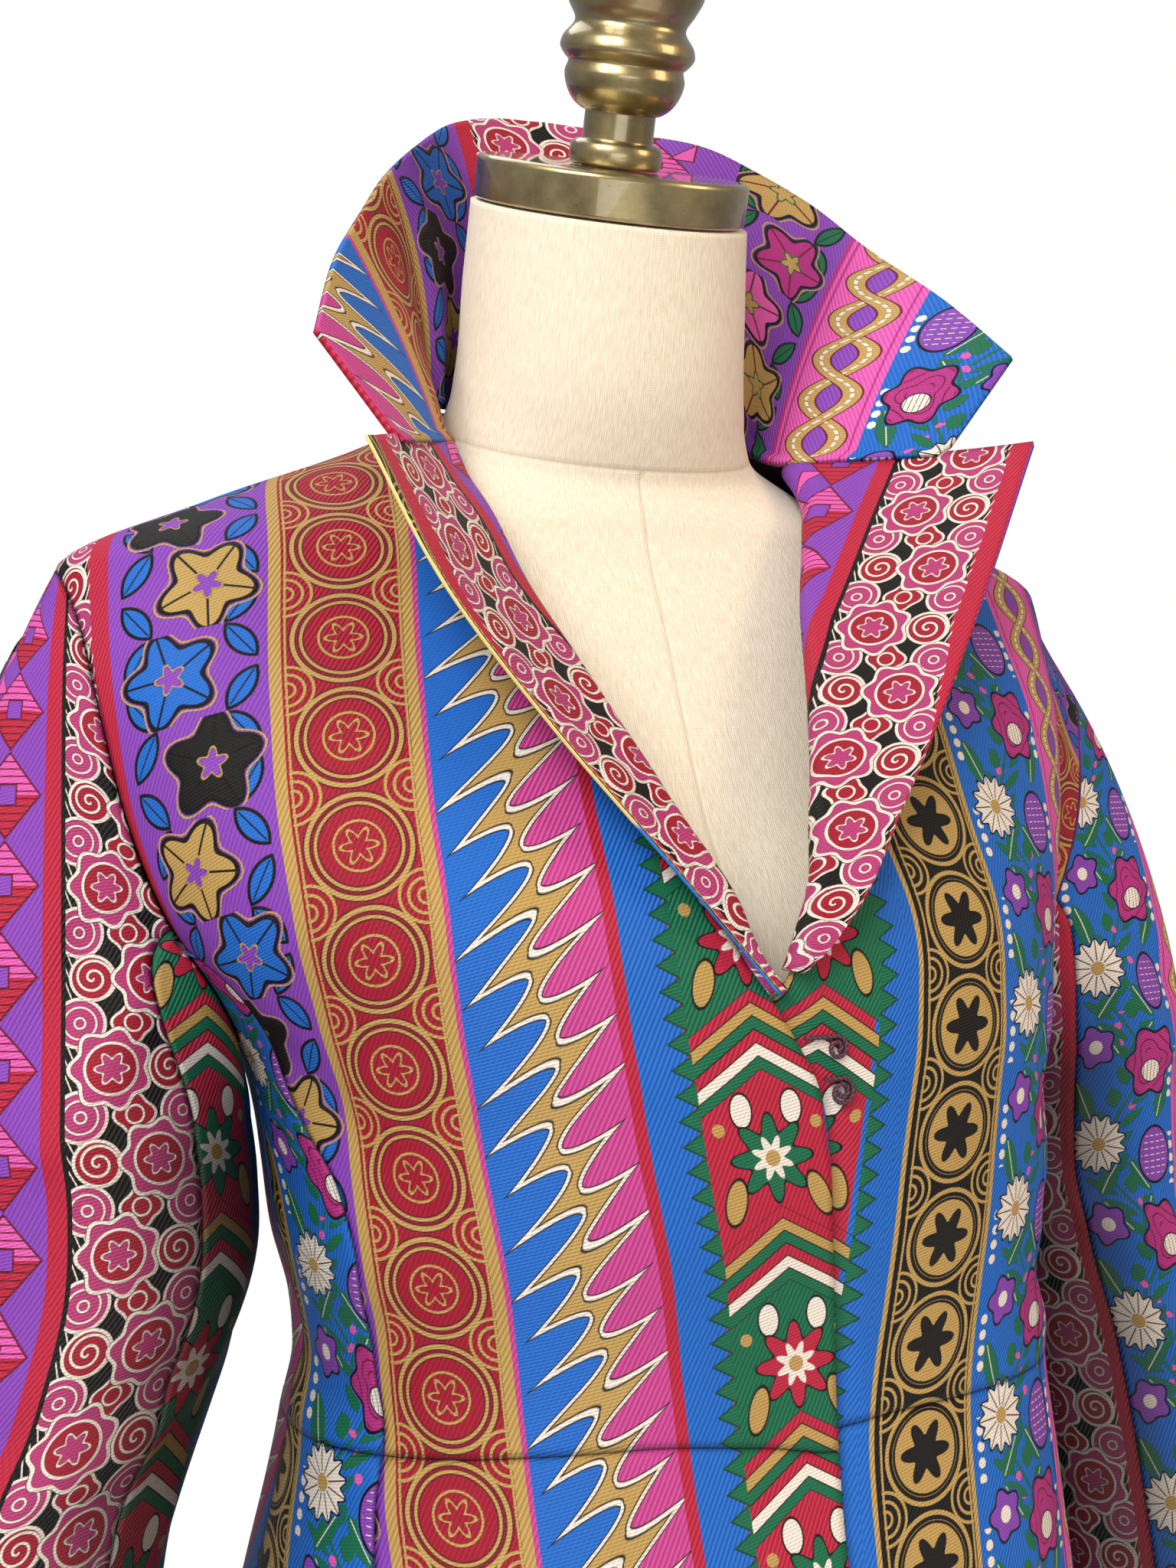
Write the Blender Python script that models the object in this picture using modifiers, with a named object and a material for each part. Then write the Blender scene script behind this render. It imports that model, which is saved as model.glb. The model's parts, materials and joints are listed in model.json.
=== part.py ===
"""Princess-seam blazer standing on a limbless dress form.

The blazer is cloth walls on a torso surface. The torso surface is a stack of
closed rings, one for each height, and a point on it is found from its height
and from its distance round the ring from the centre front. Every seam, edge
and armhole is a line in those two measures, so neighbouring pieces share it.

Sizes are millimetres above the waist seam while they are worked out, and
become metres above the floor when a mesh is made. +Z is up, the wearer faces
-Y, and the wearer's right is -X.
"""
import math

import bmesh
import bpy
import numpy as np

MM = 0.001
WAIST_HEIGHT = 310.0
SEAM_GAP = 0.3
CLOTH = 2.0
LAPEL_THICKNESS = 3.0
COLLAR_THICKNESS = 2.6
RIGHT = -1
LEFT = 1

# Outside of the blazer: half widths on the wearer's two sides, centre front,
# centre back and widest point of the ring at each height, and how square the
# front corners are. The left front hangs looser than the right.
BLAZER_RINGS = {
    "height":       (-205, -120,  -46,  -15,   14,   33,   52,   77,  104,  121,  142,
                      164,  193,  228,  265,  300,  320,  347,  372,  384,  402),
    "half_right":   (188, 174, 153, 145, 138, 134, 135, 141, 144, 146, 151,
                     164, 185, 201, 210, 214, 213, 161,  99,  76,  60),
    "half_left":    (192, 181, 170, 166, 164, 163, 163, 163, 165, 168, 173,
                     180, 190, 202, 210, 214, 213, 161,  99,  76,  60),
    "front":        (124, 119, 111, 106, 104, 105, 108, 113, 117, 119, 121,
                     121, 115, 101,  85,  66,  55,  38,  19,  10,   4),
    "back":         (150, 138, 114, 101,  97,  97,  99, 102, 105, 108, 110,
                     114, 118, 121, 117, 104,  94,  77,  64,  59,  54),
    "side_y":       ( 0,  0,  0,  0,  0,  0,  0,  0,  0,  0,  0,
                      1,  3,  5,  8, 11, 12, 11,  9,  8,  8),
    "square_right": (2.1, 2.1, 2.2, 2.2, 2.2, 2.2, 2.2, 2.2, 2.2, 2.2, 2.3,
                     2.3, 2.4, 2.4, 2.4, 2.3, 2.3, 2.2, 2.1, 2.1, 2.1),
    "square_left":  (2.3, 2.5, 2.8, 3.0, 3.0, 3.0, 3.0, 3.0, 2.9, 2.8, 2.7,
                     2.5, 2.4, 2.4, 2.4, 2.3, 2.3, 2.2, 2.1, 2.1, 2.1),
}
BACK_SQUARENESS = 2.25

# Where the two front edges and roll lines run, as the side distance from the
# middle of the body. The right front laps over the left below the break.
FRONT_EDGE = {
    "height": (-205,  -35,    8,   43,   73,  108,  131,  144,  162,  172,  185,
                200,  216,  236,  257,  278,  306,  333,  350,  372,  386),
    "right":  ( 28,  28,  29,  28,  25,  22,  17,  10,  -1,  -8, -14,
               -20, -28, -37, -47, -56, -67, -73, -77, -76, -75),
    "left":   (-10, -10, -11, -12, -13, -13,  -9,  -5,   3,  10,  18,
                26,  31,  38,  44,  50,  59,  71,  79,  81,  78),
}
OVERLAP_TUCK = 3.2
LAP_SLOPE = 9.0
OVERLAP_TOP = 166.0

# How far the waist seam runs above its level, by distance round the ring
# from the centre front, and how far up and down that lift fades out.
WAIST_LIFT = {
    RIGHT: {"along": (-40, -30, 0, 50, 70, 130, 200, 420), "lift": (2, 2, 8, 14, 14, 12, 10, 9)},
    LEFT:  {"along": (-40, 20, 50, 110, 200, 420), "lift": (5, 7, 11, 10, 9, 9)},
}
WAIST_LIFT_FADE = 100.0

# Side distance of the seam between front and side front.
PRINCESS_SEAM = {
    "height": (-205, -28,  12,  31,  59,  85, 109, 116, 145, 168, 191),
    "right":  ( 138, 126, 121, 121, 124, 128, 134, 137, 148, 161, 184),
    "left":   ( 148, 140, 136, 136, 137, 140, 144, 147, 158, 170, 188),
}

# The armhole seen from the side: an ellipse, drawn back towards its top.
ARMHOLE_HEIGHT = 234.0
ARMHOLE_HALF_HEIGHT = 86.0
ARMHOLE_FRONT = 35.0
ARMHOLE_BACK = 50.0
ARMHOLE_TOP_Y = 12.0
ARMHOLE_STEPS = 12

NECK_SIDE_HEIGHT = 384.0
NECK_BACK_RISE = 18.0
NECK_HALF_WIDTH = 75.0
HEM_HEIGHT = -205.0

# Free edges of the lapels, from the peak down to the break.
LAPEL_EDGE = {
    RIGHT: {
        "height": (162, 203, 250, 297, 350),
        "x": (0, -34, -72, -105, -126),
        "y": (-126, -123, -115, -107, -90),
    },
    LEFT: {
        "height": (169, 184, 224, 292, 368),
        "x": (10, 27, 57, 104, 153),
        "y": (-125, -126, -119, -102, -81),
    },
}
LAPEL_FOLD = 4.0
LAPEL_TOP = 367.0
NOTCH_SHARE = {RIGHT: 0.70, LEFT: 0.66}

# Upper edge of the collar from the right point round the back to the left.
COLLAR_TOP = {
    "x": (-134, -119, -99, -85, -66, -37, -15, 12, 42, 84, 102, 122, 133, 145, 153),
    "y": (-62, -36, -10, 8, 28, 56, 66, 69, 66, 50, 42, 28, 0, -40, -70),
    "z": (393, 429, 461, 482, 504, 530, 539, 542, 541, 532, 521, 503, 474, 438, 407),
}
COLLAR_BACK_INDEX = 6.6
COLLAR_HOLLOW = 8.0

# Sleeve below the bicep line: distance of its centre from the middle of the
# body on each side, its y, half width across and half depth.
SLEEVE_RINGS = {
    "height":     (-245, -170, -100, -40,   0,  40,  75, 100, 125),
    "x_right":    ( 240,  242,  242, 239, 231, 213, 203, 202, 204),
    "x_left":     ( 240,  242,  242, 241, 238, 232, 229, 229, 230),
    "y":          ( -22,  -14,   -5,   4,  10,  17,  21,  20,  17),
    "half_width": (  41,   45,   50,  53,  55,  57,  58,  57,  56),
    "half_depth": (  42,   45,   48,  51,  53,  55,  57,  57,  56),
}
BICEP_HEIGHT = 120.0
SLEEVE_HEM = -245.0

# How far a sleeve turns out of the torso surface where it leaves the
# armhole, from the shoulder point down to the underarm, in degrees.
SLEEVE_TURN = {
    "height": (0, 45, 90, 120, 150, 180),
    "turn":   (14, 26, 52, 90, 138, 164),
}
SLEEVE_CLEARANCE = 0.5
SLEEVE_SEAM_STEP = 8

COILS = (
    {"name": "coil_upper", "side": 24.0, "height": 143.0, "turns": 1.45},
    {"name": "coil_lower", "side": 26.0, "height": 128.0, "turns": 1.8},
)
COIL_PITCH = 2.0
COIL_CORD = 1.6

# Dress form: rings from the hip to the neck cap, each tilted forward.
FORM_RINGS = {
    "height":     ( -290,  -205,  -120,   -38,     0,    60,   127,   165,   195,   222,
                     260,   300,   322,   342,   358,   368,   377,   402,   440, 468.4),
    "x":          (  0,   0,   0,   0,   0,   0,   0,   0,   0,   0,
                     0,   0,   0,   0,   0,   0,   0,   0, 0.3, 0.6),
    "y":          (    0,     0,     0,     0,     0,     0,     0,     0,     0,     2,
                       4,     6,     8,    10,    10,     9,     8,     0,    -8, -14.4),
    "half_width": ( 150,  168,  158,  142,  126,  128,  136,  143,  148,  152,
                    160,  168,  170,  143,  103,   80,   62,   59,   57, 55.5),
    "front":      ( 92, 104, 102,  96,  92,  96, 103, 104,  93,  80,
                    68,  56,  50,  49,  49,  46,  46,  52,  54,  54),
    "back":       (112, 128, 122, 100,  87,  89,  94, 102, 105, 106,
                   100,  84,  70,  60,  52,  49,  45,  50,  53,  54),
    "tilt":       (   0,    0,    0,    0,    0,    0,    0,    0,    0,    0,
                      0,    0,    2,    8,   17,   23,   27,   26,   26, 26.5),
    "lean":       (  0,   0,   0,   0,   0,   0,   0,   0,   0,   0,
                     0,   0,   0,   0,   0,   0,   0, 0.6, 1.6, 2.2),
}
FORM_SQUARENESS = 2.15
FORM_COLUMNS = 32
CAP_TILT = 26.5
CAP_LEAN = 2.2
CAP_CENTRE = (0.0, -22.0, 484.0)
CAP_RADIUS = 54.5
CAP_THICKNESS = 17.0

# Turned finial: height above the cap and radius, from base ring to ball.
FINIAL_PROFILE = {
    "height": (0.3, 0.3, 1.5, 5.0, 8.6, 9.8, 10.0, 20.1, 20.6, 23.6, 28.1, 33.4, 37.3, 38.7, 42.7,
               45.3, 51.9, 57.3, 64.3, 73.2, 81.2, 84.7, 88.2, 94.4, 101.5, 105.9, 107.3),
    "radius": (0.0, 17.2, 18.2, 18.6, 17.6, 15.6, 14.2, 14.0, 15.4, 19.6, 22.4, 23.6, 22.6, 24.0, 26.4,
               25.8, 21.6, 24.4, 27.2, 23.6, 14.0, 11.0, 11.6, 14.2, 10.6, 5.0, 0.0),
}
BOARD_THICKNESS = 20.0
BOARD_INSET = 4.0

MATERIALS = {
    "brocade":        {"colour": (0.30, 0.10, 0.24), "roughness": 0.55, "metallic": 0.0},
    "cord":           {"colour": (0.07, 0.02, 0.04), "roughness": 0.60, "metallic": 0.0},
    "linen":          {"colour": (0.86, 0.76, 0.60), "roughness": 0.85, "metallic": 0.0},
    "antique_brass":  {"colour": (0.27, 0.22, 0.10), "roughness": 0.35, "metallic": 1.0},
    "oiled_wood":     {"colour": (0.16, 0.08, 0.04), "roughness": 0.50, "metallic": 0.0},
}


def smooth_table(x, knots, values):
    """Smooth curve through a table: a cubic between knots, with the slope at
    each knot taken from its neighbours and set level at a turning point."""
    x = np.clip(np.asarray(x, float), knots[0], knots[-1])
    knots = np.asarray(knots, float)
    values = np.asarray(values, float)
    step = np.diff(knots)
    rise = np.diff(values) / step
    slope = np.empty_like(values)
    slope[0], slope[-1] = rise[0], rise[-1]
    inner = rise[:-1] * rise[1:]
    weight = step[1:] / (step[:-1] + step[1:])
    mean = rise[:-1] * weight + rise[1:] * (1.0 - weight)
    limit = 3.0 * np.minimum(np.abs(rise[:-1]), np.abs(rise[1:]))
    slope[1:-1] = np.where(inner > 0, np.sign(mean) * np.minimum(np.abs(mean), limit), 0.0)
    i = np.clip(np.searchsorted(knots, x, side="right") - 1, 0, len(step) - 1)
    t = (x - knots[i]) / step[i]
    start = values[i] * (1 + 2 * t) + slope[i] * step[i] * t
    end = values[i + 1] * (3 - 2 * t) - slope[i + 1] * step[i] * (1 - t)
    return start * (1 - t) ** 2 + end * t ** 2


def column(table, name, height):
    """One column of a table, read smoothly at a height."""
    return smooth_table(height, table["height"], table[name])


def ring_curve(side_sign, height):
    """Half rings from centre front to centre back at each height: side
    distance, y and length along the ring, as one row for each height."""
    name = "right" if side_sign == RIGHT else "left"
    height = np.atleast_1d(np.asarray(height, float))[:, None]
    half = column(BLAZER_RINGS, "half_" + name, height)
    front = column(BLAZER_RINGS, "front", height)
    back = column(BLAZER_RINGS, "back", height)
    middle = column(BLAZER_RINGS, "side_y", height)
    angle = np.linspace(0.0, math.pi, 361)[None, :]
    square = column(BLAZER_RINGS, "square_" + name, height)
    power = 2.0 / np.where(np.cos(angle) > 0, square, BACK_SQUARENESS)
    side = half * np.abs(np.sin(angle)) ** power
    reach = np.abs(np.cos(angle)) ** power
    y = np.where(np.cos(angle) > 0, middle - (front + middle) * reach, middle + (back - middle) * reach)
    steps = np.hypot(np.diff(side, axis=1), np.diff(y, axis=1))
    length = np.concatenate([np.zeros((len(side), 1)), np.cumsum(steps, axis=1)], axis=1)
    return side, y, length


def torso(side_sign, along, height):
    """Point on the outside of the blazer at a distance along its ring from
    the centre front. A negative distance is past the centre front."""
    along, height = np.broadcast_arrays(np.asarray(along, float), np.asarray(height, float))
    curves = {sign: ring_curve(sign, height.ravel()) for sign in (RIGHT, LEFT)}
    flat = along.ravel()
    points = []
    for k, level in enumerate(height.ravel()):
        sign = side_sign if flat[k] >= 0 else -side_sign
        side, y, length = (part[k] for part in curves[sign])
        distance = abs(flat[k])
        points.append((np.interp(distance, length, side) * sign, np.interp(distance, length, y), level))
    return np.array(points).reshape(along.shape + (3,))


def unit(vectors):
    """Vectors scaled to length 1."""
    return vectors / np.maximum(np.linalg.norm(vectors, axis=-1, keepdims=True), 1e-9)


def torso_normal(side_sign, along, height):
    """Outward direction of the torso surface, from the points 1.5 mm away on
    each side along the ring and up it."""
    e = 1.5
    across = torso(side_sign, along + e, height) - torso(side_sign, along - e, height)
    top = BLAZER_RINGS["height"][-1]
    upper = np.minimum(height + e, top)
    lower = np.minimum(height, top - e) - e
    up = torso(side_sign, along, upper) - torso(side_sign, along, lower)
    return unit(np.cross(across, up)) * side_sign


def along_for_side(side_sign, x, height):
    """Distance along the front half of the ring to a given side distance."""
    x, height = np.broadcast_arrays(np.asarray(x, float), np.asarray(height, float))
    curves = {sign: ring_curve(sign, height) for sign in (RIGHT, LEFT)}
    found = []
    for k, distance in enumerate(x):
        side, _, length = curves[side_sign if distance >= 0 else -side_sign]
        middle = side.shape[1] // 2 + 1
        reach = np.interp(abs(distance), side[k, :middle], length[k, :middle])
        found.append(math.copysign(reach, distance))
    return np.array(found)


def along_for_back(side_sign, x, height):
    """Distance along the ring to a side distance on its back half."""
    side, _, length = ring_curve(side_sign, height)
    middle = side.shape[1] // 2
    return np.array([np.interp(-x[k], -side[k, middle:], length[k, middle:]) for k in range(len(x))])


def along_for_depth(side_sign, y, height):
    """Distance along the ring to a given y."""
    _, depth, length = ring_curve(side_sign, height)
    return np.array([np.interp(y[k], depth[k], length[k]) for k in range(len(y))])


def ridge(side_sign, height):
    """Distance along the ring to its widest point, where the shoulder seam is."""
    return along_for_depth(side_sign, column(BLAZER_RINGS, "side_y", height), height)


def centre_back(side_sign, height):
    """Length of the whole half ring."""
    return ring_curve(side_sign, height)[2][:, -1]


def armhole_y(height, front):
    """Front or back y of the armhole ellipse at a height."""
    share = np.clip((height - ARMHOLE_HEIGHT) / ARMHOLE_HALF_HEIGHT, -1.0, 1.0)
    width = np.sqrt(1.0 - share ** 2)
    lean = ARMHOLE_TOP_Y * (share + 1.0) / 2.0
    return lean + width * (-ARMHOLE_FRONT if front else ARMHOLE_BACK)


def front_edge(side_sign, height):
    """Distance along the ring to a front's own edge."""
    name = "right" if side_sign == RIGHT else "left"
    return along_for_side(side_sign, column(FRONT_EDGE, name, height) * side_sign, height)


def princess(side_sign, height):
    """Distance along the ring to the seam between front and side front."""
    name = "right" if side_sign == RIGHT else "left"
    seam = along_for_side(side_sign, column(PRINCESS_SEAM, name, height), height)
    arm = along_for_depth(side_sign, armhole_y(height, True), height)
    return np.where(height > ARMHOLE_BOTTOM, np.minimum(seam, arm), seam)


def side_seam(side_sign, height):
    """Distance along the ring to the side seam, at y = 0."""
    return along_for_depth(side_sign, np.zeros_like(height), height)


ARMHOLE_ROWS = ARMHOLE_HEIGHT + ARMHOLE_HALF_HEIGHT * np.cos(
    np.linspace(math.pi, 0.0, ARMHOLE_STEPS + 1))
PRINCESS_TOP = ARMHOLE_ROWS[4]
ARMHOLE_BOTTOM, ARMHOLE_TOP = ARMHOLE_ROWS[0], ARMHOLE_ROWS[-1]
BODICE_ROWS = np.concatenate([np.array([0.0, 34.0, 66.0, 96.0, 122.0]), ARMHOLE_ROWS])
SHOULDER_ROWS = np.array([330.0, 341.0, 352.0, 362.0, 371.0, 379.0])
SKIRT_ROWS = np.array([0.0, -38.0, -80.0, -122.0, -164.0, HEM_HEIGHT])


def front_outer(side_sign, height):
    """Outer limit of a front: princess seam, then armhole, then shoulder."""
    limit = princess(side_sign, np.minimum(height, PRINCESS_TOP))
    arm = along_for_depth(side_sign, armhole_y(height, True), height)
    top = ridge(side_sign, height)
    return np.where(height <= PRINCESS_TOP, limit, np.where(height <= ARMHOLE_TOP, arm, top))


def back_inner(side_sign, height):
    """Limit of a back away from the centre back: side seam, armhole, shoulder
    seam, and above the shoulder the neckline."""
    arm = along_for_depth(side_sign, armhole_y(height, False), height)
    rise = np.clip((height - NECK_SIDE_HEIGHT) / NECK_BACK_RISE, 0.0, 1.0)
    neck = along_for_back(side_sign, NECK_HALF_WIDTH * np.sqrt(1.0 - rise ** 2), height)
    low = np.where(height <= ARMHOLE_BOTTOM, side_seam(side_sign, height), arm)
    high = np.where(height < NECK_SIDE_HEIGHT, ridge(side_sign, height), neck)
    return np.where(height <= ARMHOLE_TOP, low, high)


def tuck(side_sign, points):
    """How far the left front lies inside the ring, under the right front."""
    if side_sign == RIGHT:
        return np.zeros(points.shape[:-1])
    edge = column(FRONT_EDGE, "right", points[..., 2])
    share = np.clip((edge + LAP_SLOPE + 1.5 - points[..., 0]) / LAP_SLOPE, 0.0, 1.0)
    fade = np.clip((OVERLAP_TOP + 8.0 - points[..., 2]) / 8.0, 0.0, 1.0)
    return OVERLAP_TUCK * share * fade


def panel(side_sign, rows, low, high, columns, lap=None):
    """Grid of points and normals between two limits on the torso surface,
    with the rows near the waist lifted as the waist seam is. A lap gives one
    column to the part that lies under the other front and one to its slope."""
    share = np.linspace(0.0, 1.0, columns)[None, :]
    along = low[:, None] * (1 - share) + high[:, None] * share
    if lap is not None:
        under = np.minimum(np.maximum(low + 3.0, lap + 1.5), low * 0.7 + high * 0.3)[:, None]
        share = np.linspace(0.0, 1.0, columns - 2)[None, :]
        slope = np.minimum(under + LAP_SLOPE, (low * 0.6 + high * 0.4)[:, None])
        along = np.hstack([low[:, None], under, slope * (1 - share) + high[:, None] * share])
    fade = np.clip(1.0 - np.abs(rows[:, None]) / WAIST_LIFT_FADE, 0.0, 1.0)
    lift = smooth_table(along, WAIST_LIFT[side_sign]["along"], WAIST_LIFT[side_sign]["lift"])
    height = rows[:, None] + lift * fade
    points = torso(side_sign, along, height)
    normals = torso_normal(side_sign, along, height)
    return points - normals * tuck(side_sign, points)[..., None], normals


def lapped(side_sign, rows):
    """Distance along the left ring to the right front's edge, or none."""
    if side_sign == RIGHT:
        return None
    return along_for_side(LEFT, column(FRONT_EDGE, "right", rows), rows)


def clear_rows(rows, at_bottom=True, at_top=False):
    """Rows moved in by half a seam gap at the ends that meet another piece."""
    rows = np.array(rows, float)
    rows[0] += SEAM_GAP / 2 * np.sign(rows[-1] - rows[0]) * at_bottom
    rows[-1] -= SEAM_GAP / 2 * np.sign(rows[-1] - rows[0]) * at_top
    return rows


def sleeve_ring(side_sign, angle, height):
    """Sleeve below the bicep line. Angle 0 is the outer side, a quarter turn
    is the front. The cross-section is an ellipse."""
    centre = column(SLEEVE_RINGS, "x_right" if side_sign == RIGHT else "x_left", height)
    x = centre + column(SLEEVE_RINGS, "half_width", height) * np.cos(angle)
    y = column(SLEEVE_RINGS, "y", height) - column(SLEEVE_RINGS, "half_depth", height) * np.sin(angle)
    return np.stack([x * side_sign, y, height + 0.0 * angle], axis=-1)


def wrapped(angle):
    """Angle brought between minus and plus half a turn."""
    return (angle + math.pi) % (2 * math.pi) - math.pi


def armhole(side_sign, angle):
    """Point and torso normal on the armhole. Angle 0 is the shoulder point
    and a quarter turn is the front."""
    angle = wrapped(angle)
    height = ARMHOLE_HEIGHT + ARMHOLE_HALF_HEIGHT * np.cos(angle)
    y = np.where(np.sin(angle) >= 0, armhole_y(height, True), armhole_y(height, False))
    along = along_for_depth(side_sign, y, height)
    return torso(side_sign, along, height), torso_normal(side_sign, along, height)


def sleeve(side_sign, angle, position):
    """Point of a sleeve. Position 0 to 1 is the head, a cubic curve that
    leaves the armhole outwards and ends straight down, and 1 to 2 is the
    rest, down to the cuff."""
    if position > 1.0:
        height = BICEP_HEIGHT + (SLEEVE_HEM - BICEP_HEIGHT) * (position - 1.0)
        return sleeve_ring(side_sign, angle, np.full_like(angle, height))
    edge, normal = armhole(side_sign, angle)
    tangent = armhole(side_sign, angle + 0.02)[0] - armhole(side_sign, angle - 0.02)[0]
    opening = unit(np.cross(normal, tangent)) * side_sign
    turn = np.radians(column(SLEEVE_TURN, "turn", np.degrees(np.abs(wrapped(angle)))))[:, None]
    leave = np.cos(turn) * opening + np.sin(turn) * normal
    start = edge + SLEEVE_CLEARANCE * (np.cos(turn / 2) * opening + np.sin(turn / 2) * normal)
    end = sleeve_ring(side_sign, angle, np.full_like(angle, BICEP_HEIGHT))
    reach = np.linalg.norm(end - start, axis=-1, keepdims=True)
    first = start + leave * reach * 0.32
    second = end + np.array([0.0, 0.0, 1.0]) * reach * 0.34
    t = position
    return (start * (1 - t) ** 3 + first * 3 * t * (1 - t) ** 2
            + second * 3 * t * t * (1 - t) + end * t ** 3)


def sleeve_grid(side_sign, angles, positions):
    """Points and outward normals of part of a sleeve."""
    points, normals = [], []
    for position in positions:
        points.append(sleeve(side_sign, angles, position))
        low, high = max(position - 0.004, 0.0), min(position + 0.004, 2.0)
        down = sleeve(side_sign, angles, high) - sleeve(side_sign, angles, low)
        turn = sleeve(side_sign, angles + 0.02, position) - sleeve(side_sign, angles - 0.02, position)
        normals.append(unit(np.cross(turn, down)) * side_sign)
    return np.array(points), np.array(normals)


def lapel_frame(side_sign, height):
    """Root of a lapel on its roll line: point, direction on past the edge of
    the front, and outward normal."""
    edge = front_edge(side_sign, height)
    root = torso(side_sign, edge, height)
    normal = torso_normal(side_sign, edge, height)
    onward = unit(root - torso(side_sign, edge + 2.0, height))
    root = root - normal * tuck(side_sign, root)[..., None]
    onward = unit(onward - normal * np.sum(onward * normal, axis=-1, keepdims=True))
    return root + onward * SEAM_GAP, onward, normal


def lapel_rows(side_sign, heights):
    """Roll line rows of a lapel, with the free edge point of each."""
    table = LAPEL_EDGE[side_sign]
    span = (heights - heights[0]) / (heights[-1] - heights[0])
    level = table["height"][0] + (table["height"][-1] - table["height"][0]) * span
    free = np.stack([column(table, "x", level), column(table, "y", level), level], axis=-1)
    return lapel_frame(side_sign, heights) + (free,)


def lapel_grid(side_sign, heights, fold_steps, flat_steps):
    """Cross-section of the lapel at each row: an arc that turns the cloth
    over the roll line, then a straight run to the free edge."""
    root, onward, normal, free = lapel_rows(side_sign, heights)
    offset = free - root
    ahead = np.sum(offset * onward, axis=-1)
    out = np.sum(offset * normal, axis=-1)
    fold = np.minimum(LAPEL_FOLD, 0.45 * np.hypot(ahead, out))
    distance = np.hypot(ahead, out - fold)
    turn = np.arctan2(out - fold, ahead) + np.arcsin(np.minimum(fold / distance, 1.0))
    points, normals = [], []
    for step in range(fold_steps + 1):
        a = (turn * step / fold_steps)[:, None]
        points.append(root + fold[:, None] * (np.sin(a) * onward + (1 - np.cos(a)) * normal))
        normals.append(-np.sin(a) * onward + np.cos(a) * normal)
    tangent_point, tangent_normal = points[-1], normals[-1]
    for step in range(1, flat_steps + 1):
        t = step / flat_steps
        points.append(tangent_point * (1 - t) + free * t)
        normals.append(tangent_normal)
    return np.array(points), np.array(normals)


def collar_base():
    """Lower edge of the collar: along the top of the right lapel from the
    notch, round the neckline, and out along the left lapel."""
    line = []
    for side_sign in (RIGHT, LEFT):
        grid, _ = lapel_grid(side_sign, np.array([LAPEL_TOP - 100.0, LAPEL_TOP]), 5, 1)
        inner, peak = grid[5, 1], grid[-1, 1]
        share = np.array([1.0 - NOTCH_SHARE[side_sign], 0.8, 0.98])[:, None]
        gorge = peak + (inner - peak) * share
        turn = np.radians(np.array([8.0, 40.0, 66.0]))
        rise = NECK_SIDE_HEIGHT + NECK_BACK_RISE * np.sin(turn)
        at = along_for_back(side_sign, NECK_HALF_WIDTH * np.cos(turn), rise)
        side = np.vstack([gorge, torso(side_sign, at, rise)])
        if side_sign == RIGHT:
            middle = [[0.0, BLAZER_RINGS["back"][-1], NECK_SIDE_HEIGHT + NECK_BACK_RISE]]
            line = np.vstack([side, middle])
    return np.vstack([line, side[::-1]]) + np.array([0.0, 0.0, COLLAR_THICKNESS / 2 + SEAM_GAP])


def resample(points, count):
    """A curve through points, spaced evenly by length, each axis smooth."""
    points = np.asarray(points, float)
    length = np.concatenate([[0.0], np.cumsum(np.linalg.norm(np.diff(points, axis=0), axis=1))])
    at = np.linspace(0.0, length[-1], count)
    return np.stack([smooth_table(at, length, points[:, k]) for k in range(3)], axis=-1)


def collar_edges(count):
    """Lower and upper edge of the collar with the same number of points,
    paired from each notch to the centre back."""
    base = collar_base()
    middle = len(base) // 2
    top = np.stack([np.array(COLLAR_TOP[k], float) for k in "xyz"], axis=-1)
    index = np.arange(len(top))
    back = np.array([np.interp(COLLAR_BACK_INDEX, index, top[:, k]) for k in range(3)])
    split = int(COLLAR_BACK_INDEX) + 1
    half = count // 2 + 1
    low = np.concatenate([resample(base[:middle + 1], half), resample(base[middle:], half)[1:]])
    high = np.concatenate([resample(np.vstack([top[:split], back]), half),
                           resample(np.vstack([back, top[split:]]), half)[1:]])
    return low, high


def collar_surface(columns, rows):
    """Middle surface of the collar: it stands up from the neckline, hollow
    towards the neck, and spreads outwards as it nears the upper edge."""
    low, high = collar_edges(columns)
    t = np.linspace(0.0, 1.0, rows)[:, None, None]
    middle = (low + high) / 2
    inward = unit(np.array([0.0, 4.0, 0.0]) - middle * np.array([1.0, 1.0, 0.0]))
    share = np.abs(np.linspace(-1.0, 1.0, columns))[:, None]
    depth = COLLAR_HOLLOW * np.clip((1.0 - share) / 0.75, 0.0, 1.0)
    points = low * (1 - t) + high * t + inward * depth * 4 * t * (1 - t)
    along = np.gradient(points, axis=1)
    up = np.gradient(points, axis=0)
    return points, unit(np.cross(along, up))


def material(name):
    """Principled material with the colour and gloss of one real finish."""
    made = bpy.data.materials.get(name)
    if made is None:
        made = bpy.data.materials.new(name)
        made.use_nodes = True
        shader = made.node_tree.nodes["Principled BSDF"]
        shader.inputs["Base Color"].default_value = (*MATERIALS[name]["colour"], 1.0)
        shader.inputs["Roughness"].default_value = MATERIALS[name]["roughness"]
        shader.inputs["Metallic"].default_value = MATERIALS[name]["metallic"]
    return made


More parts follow.
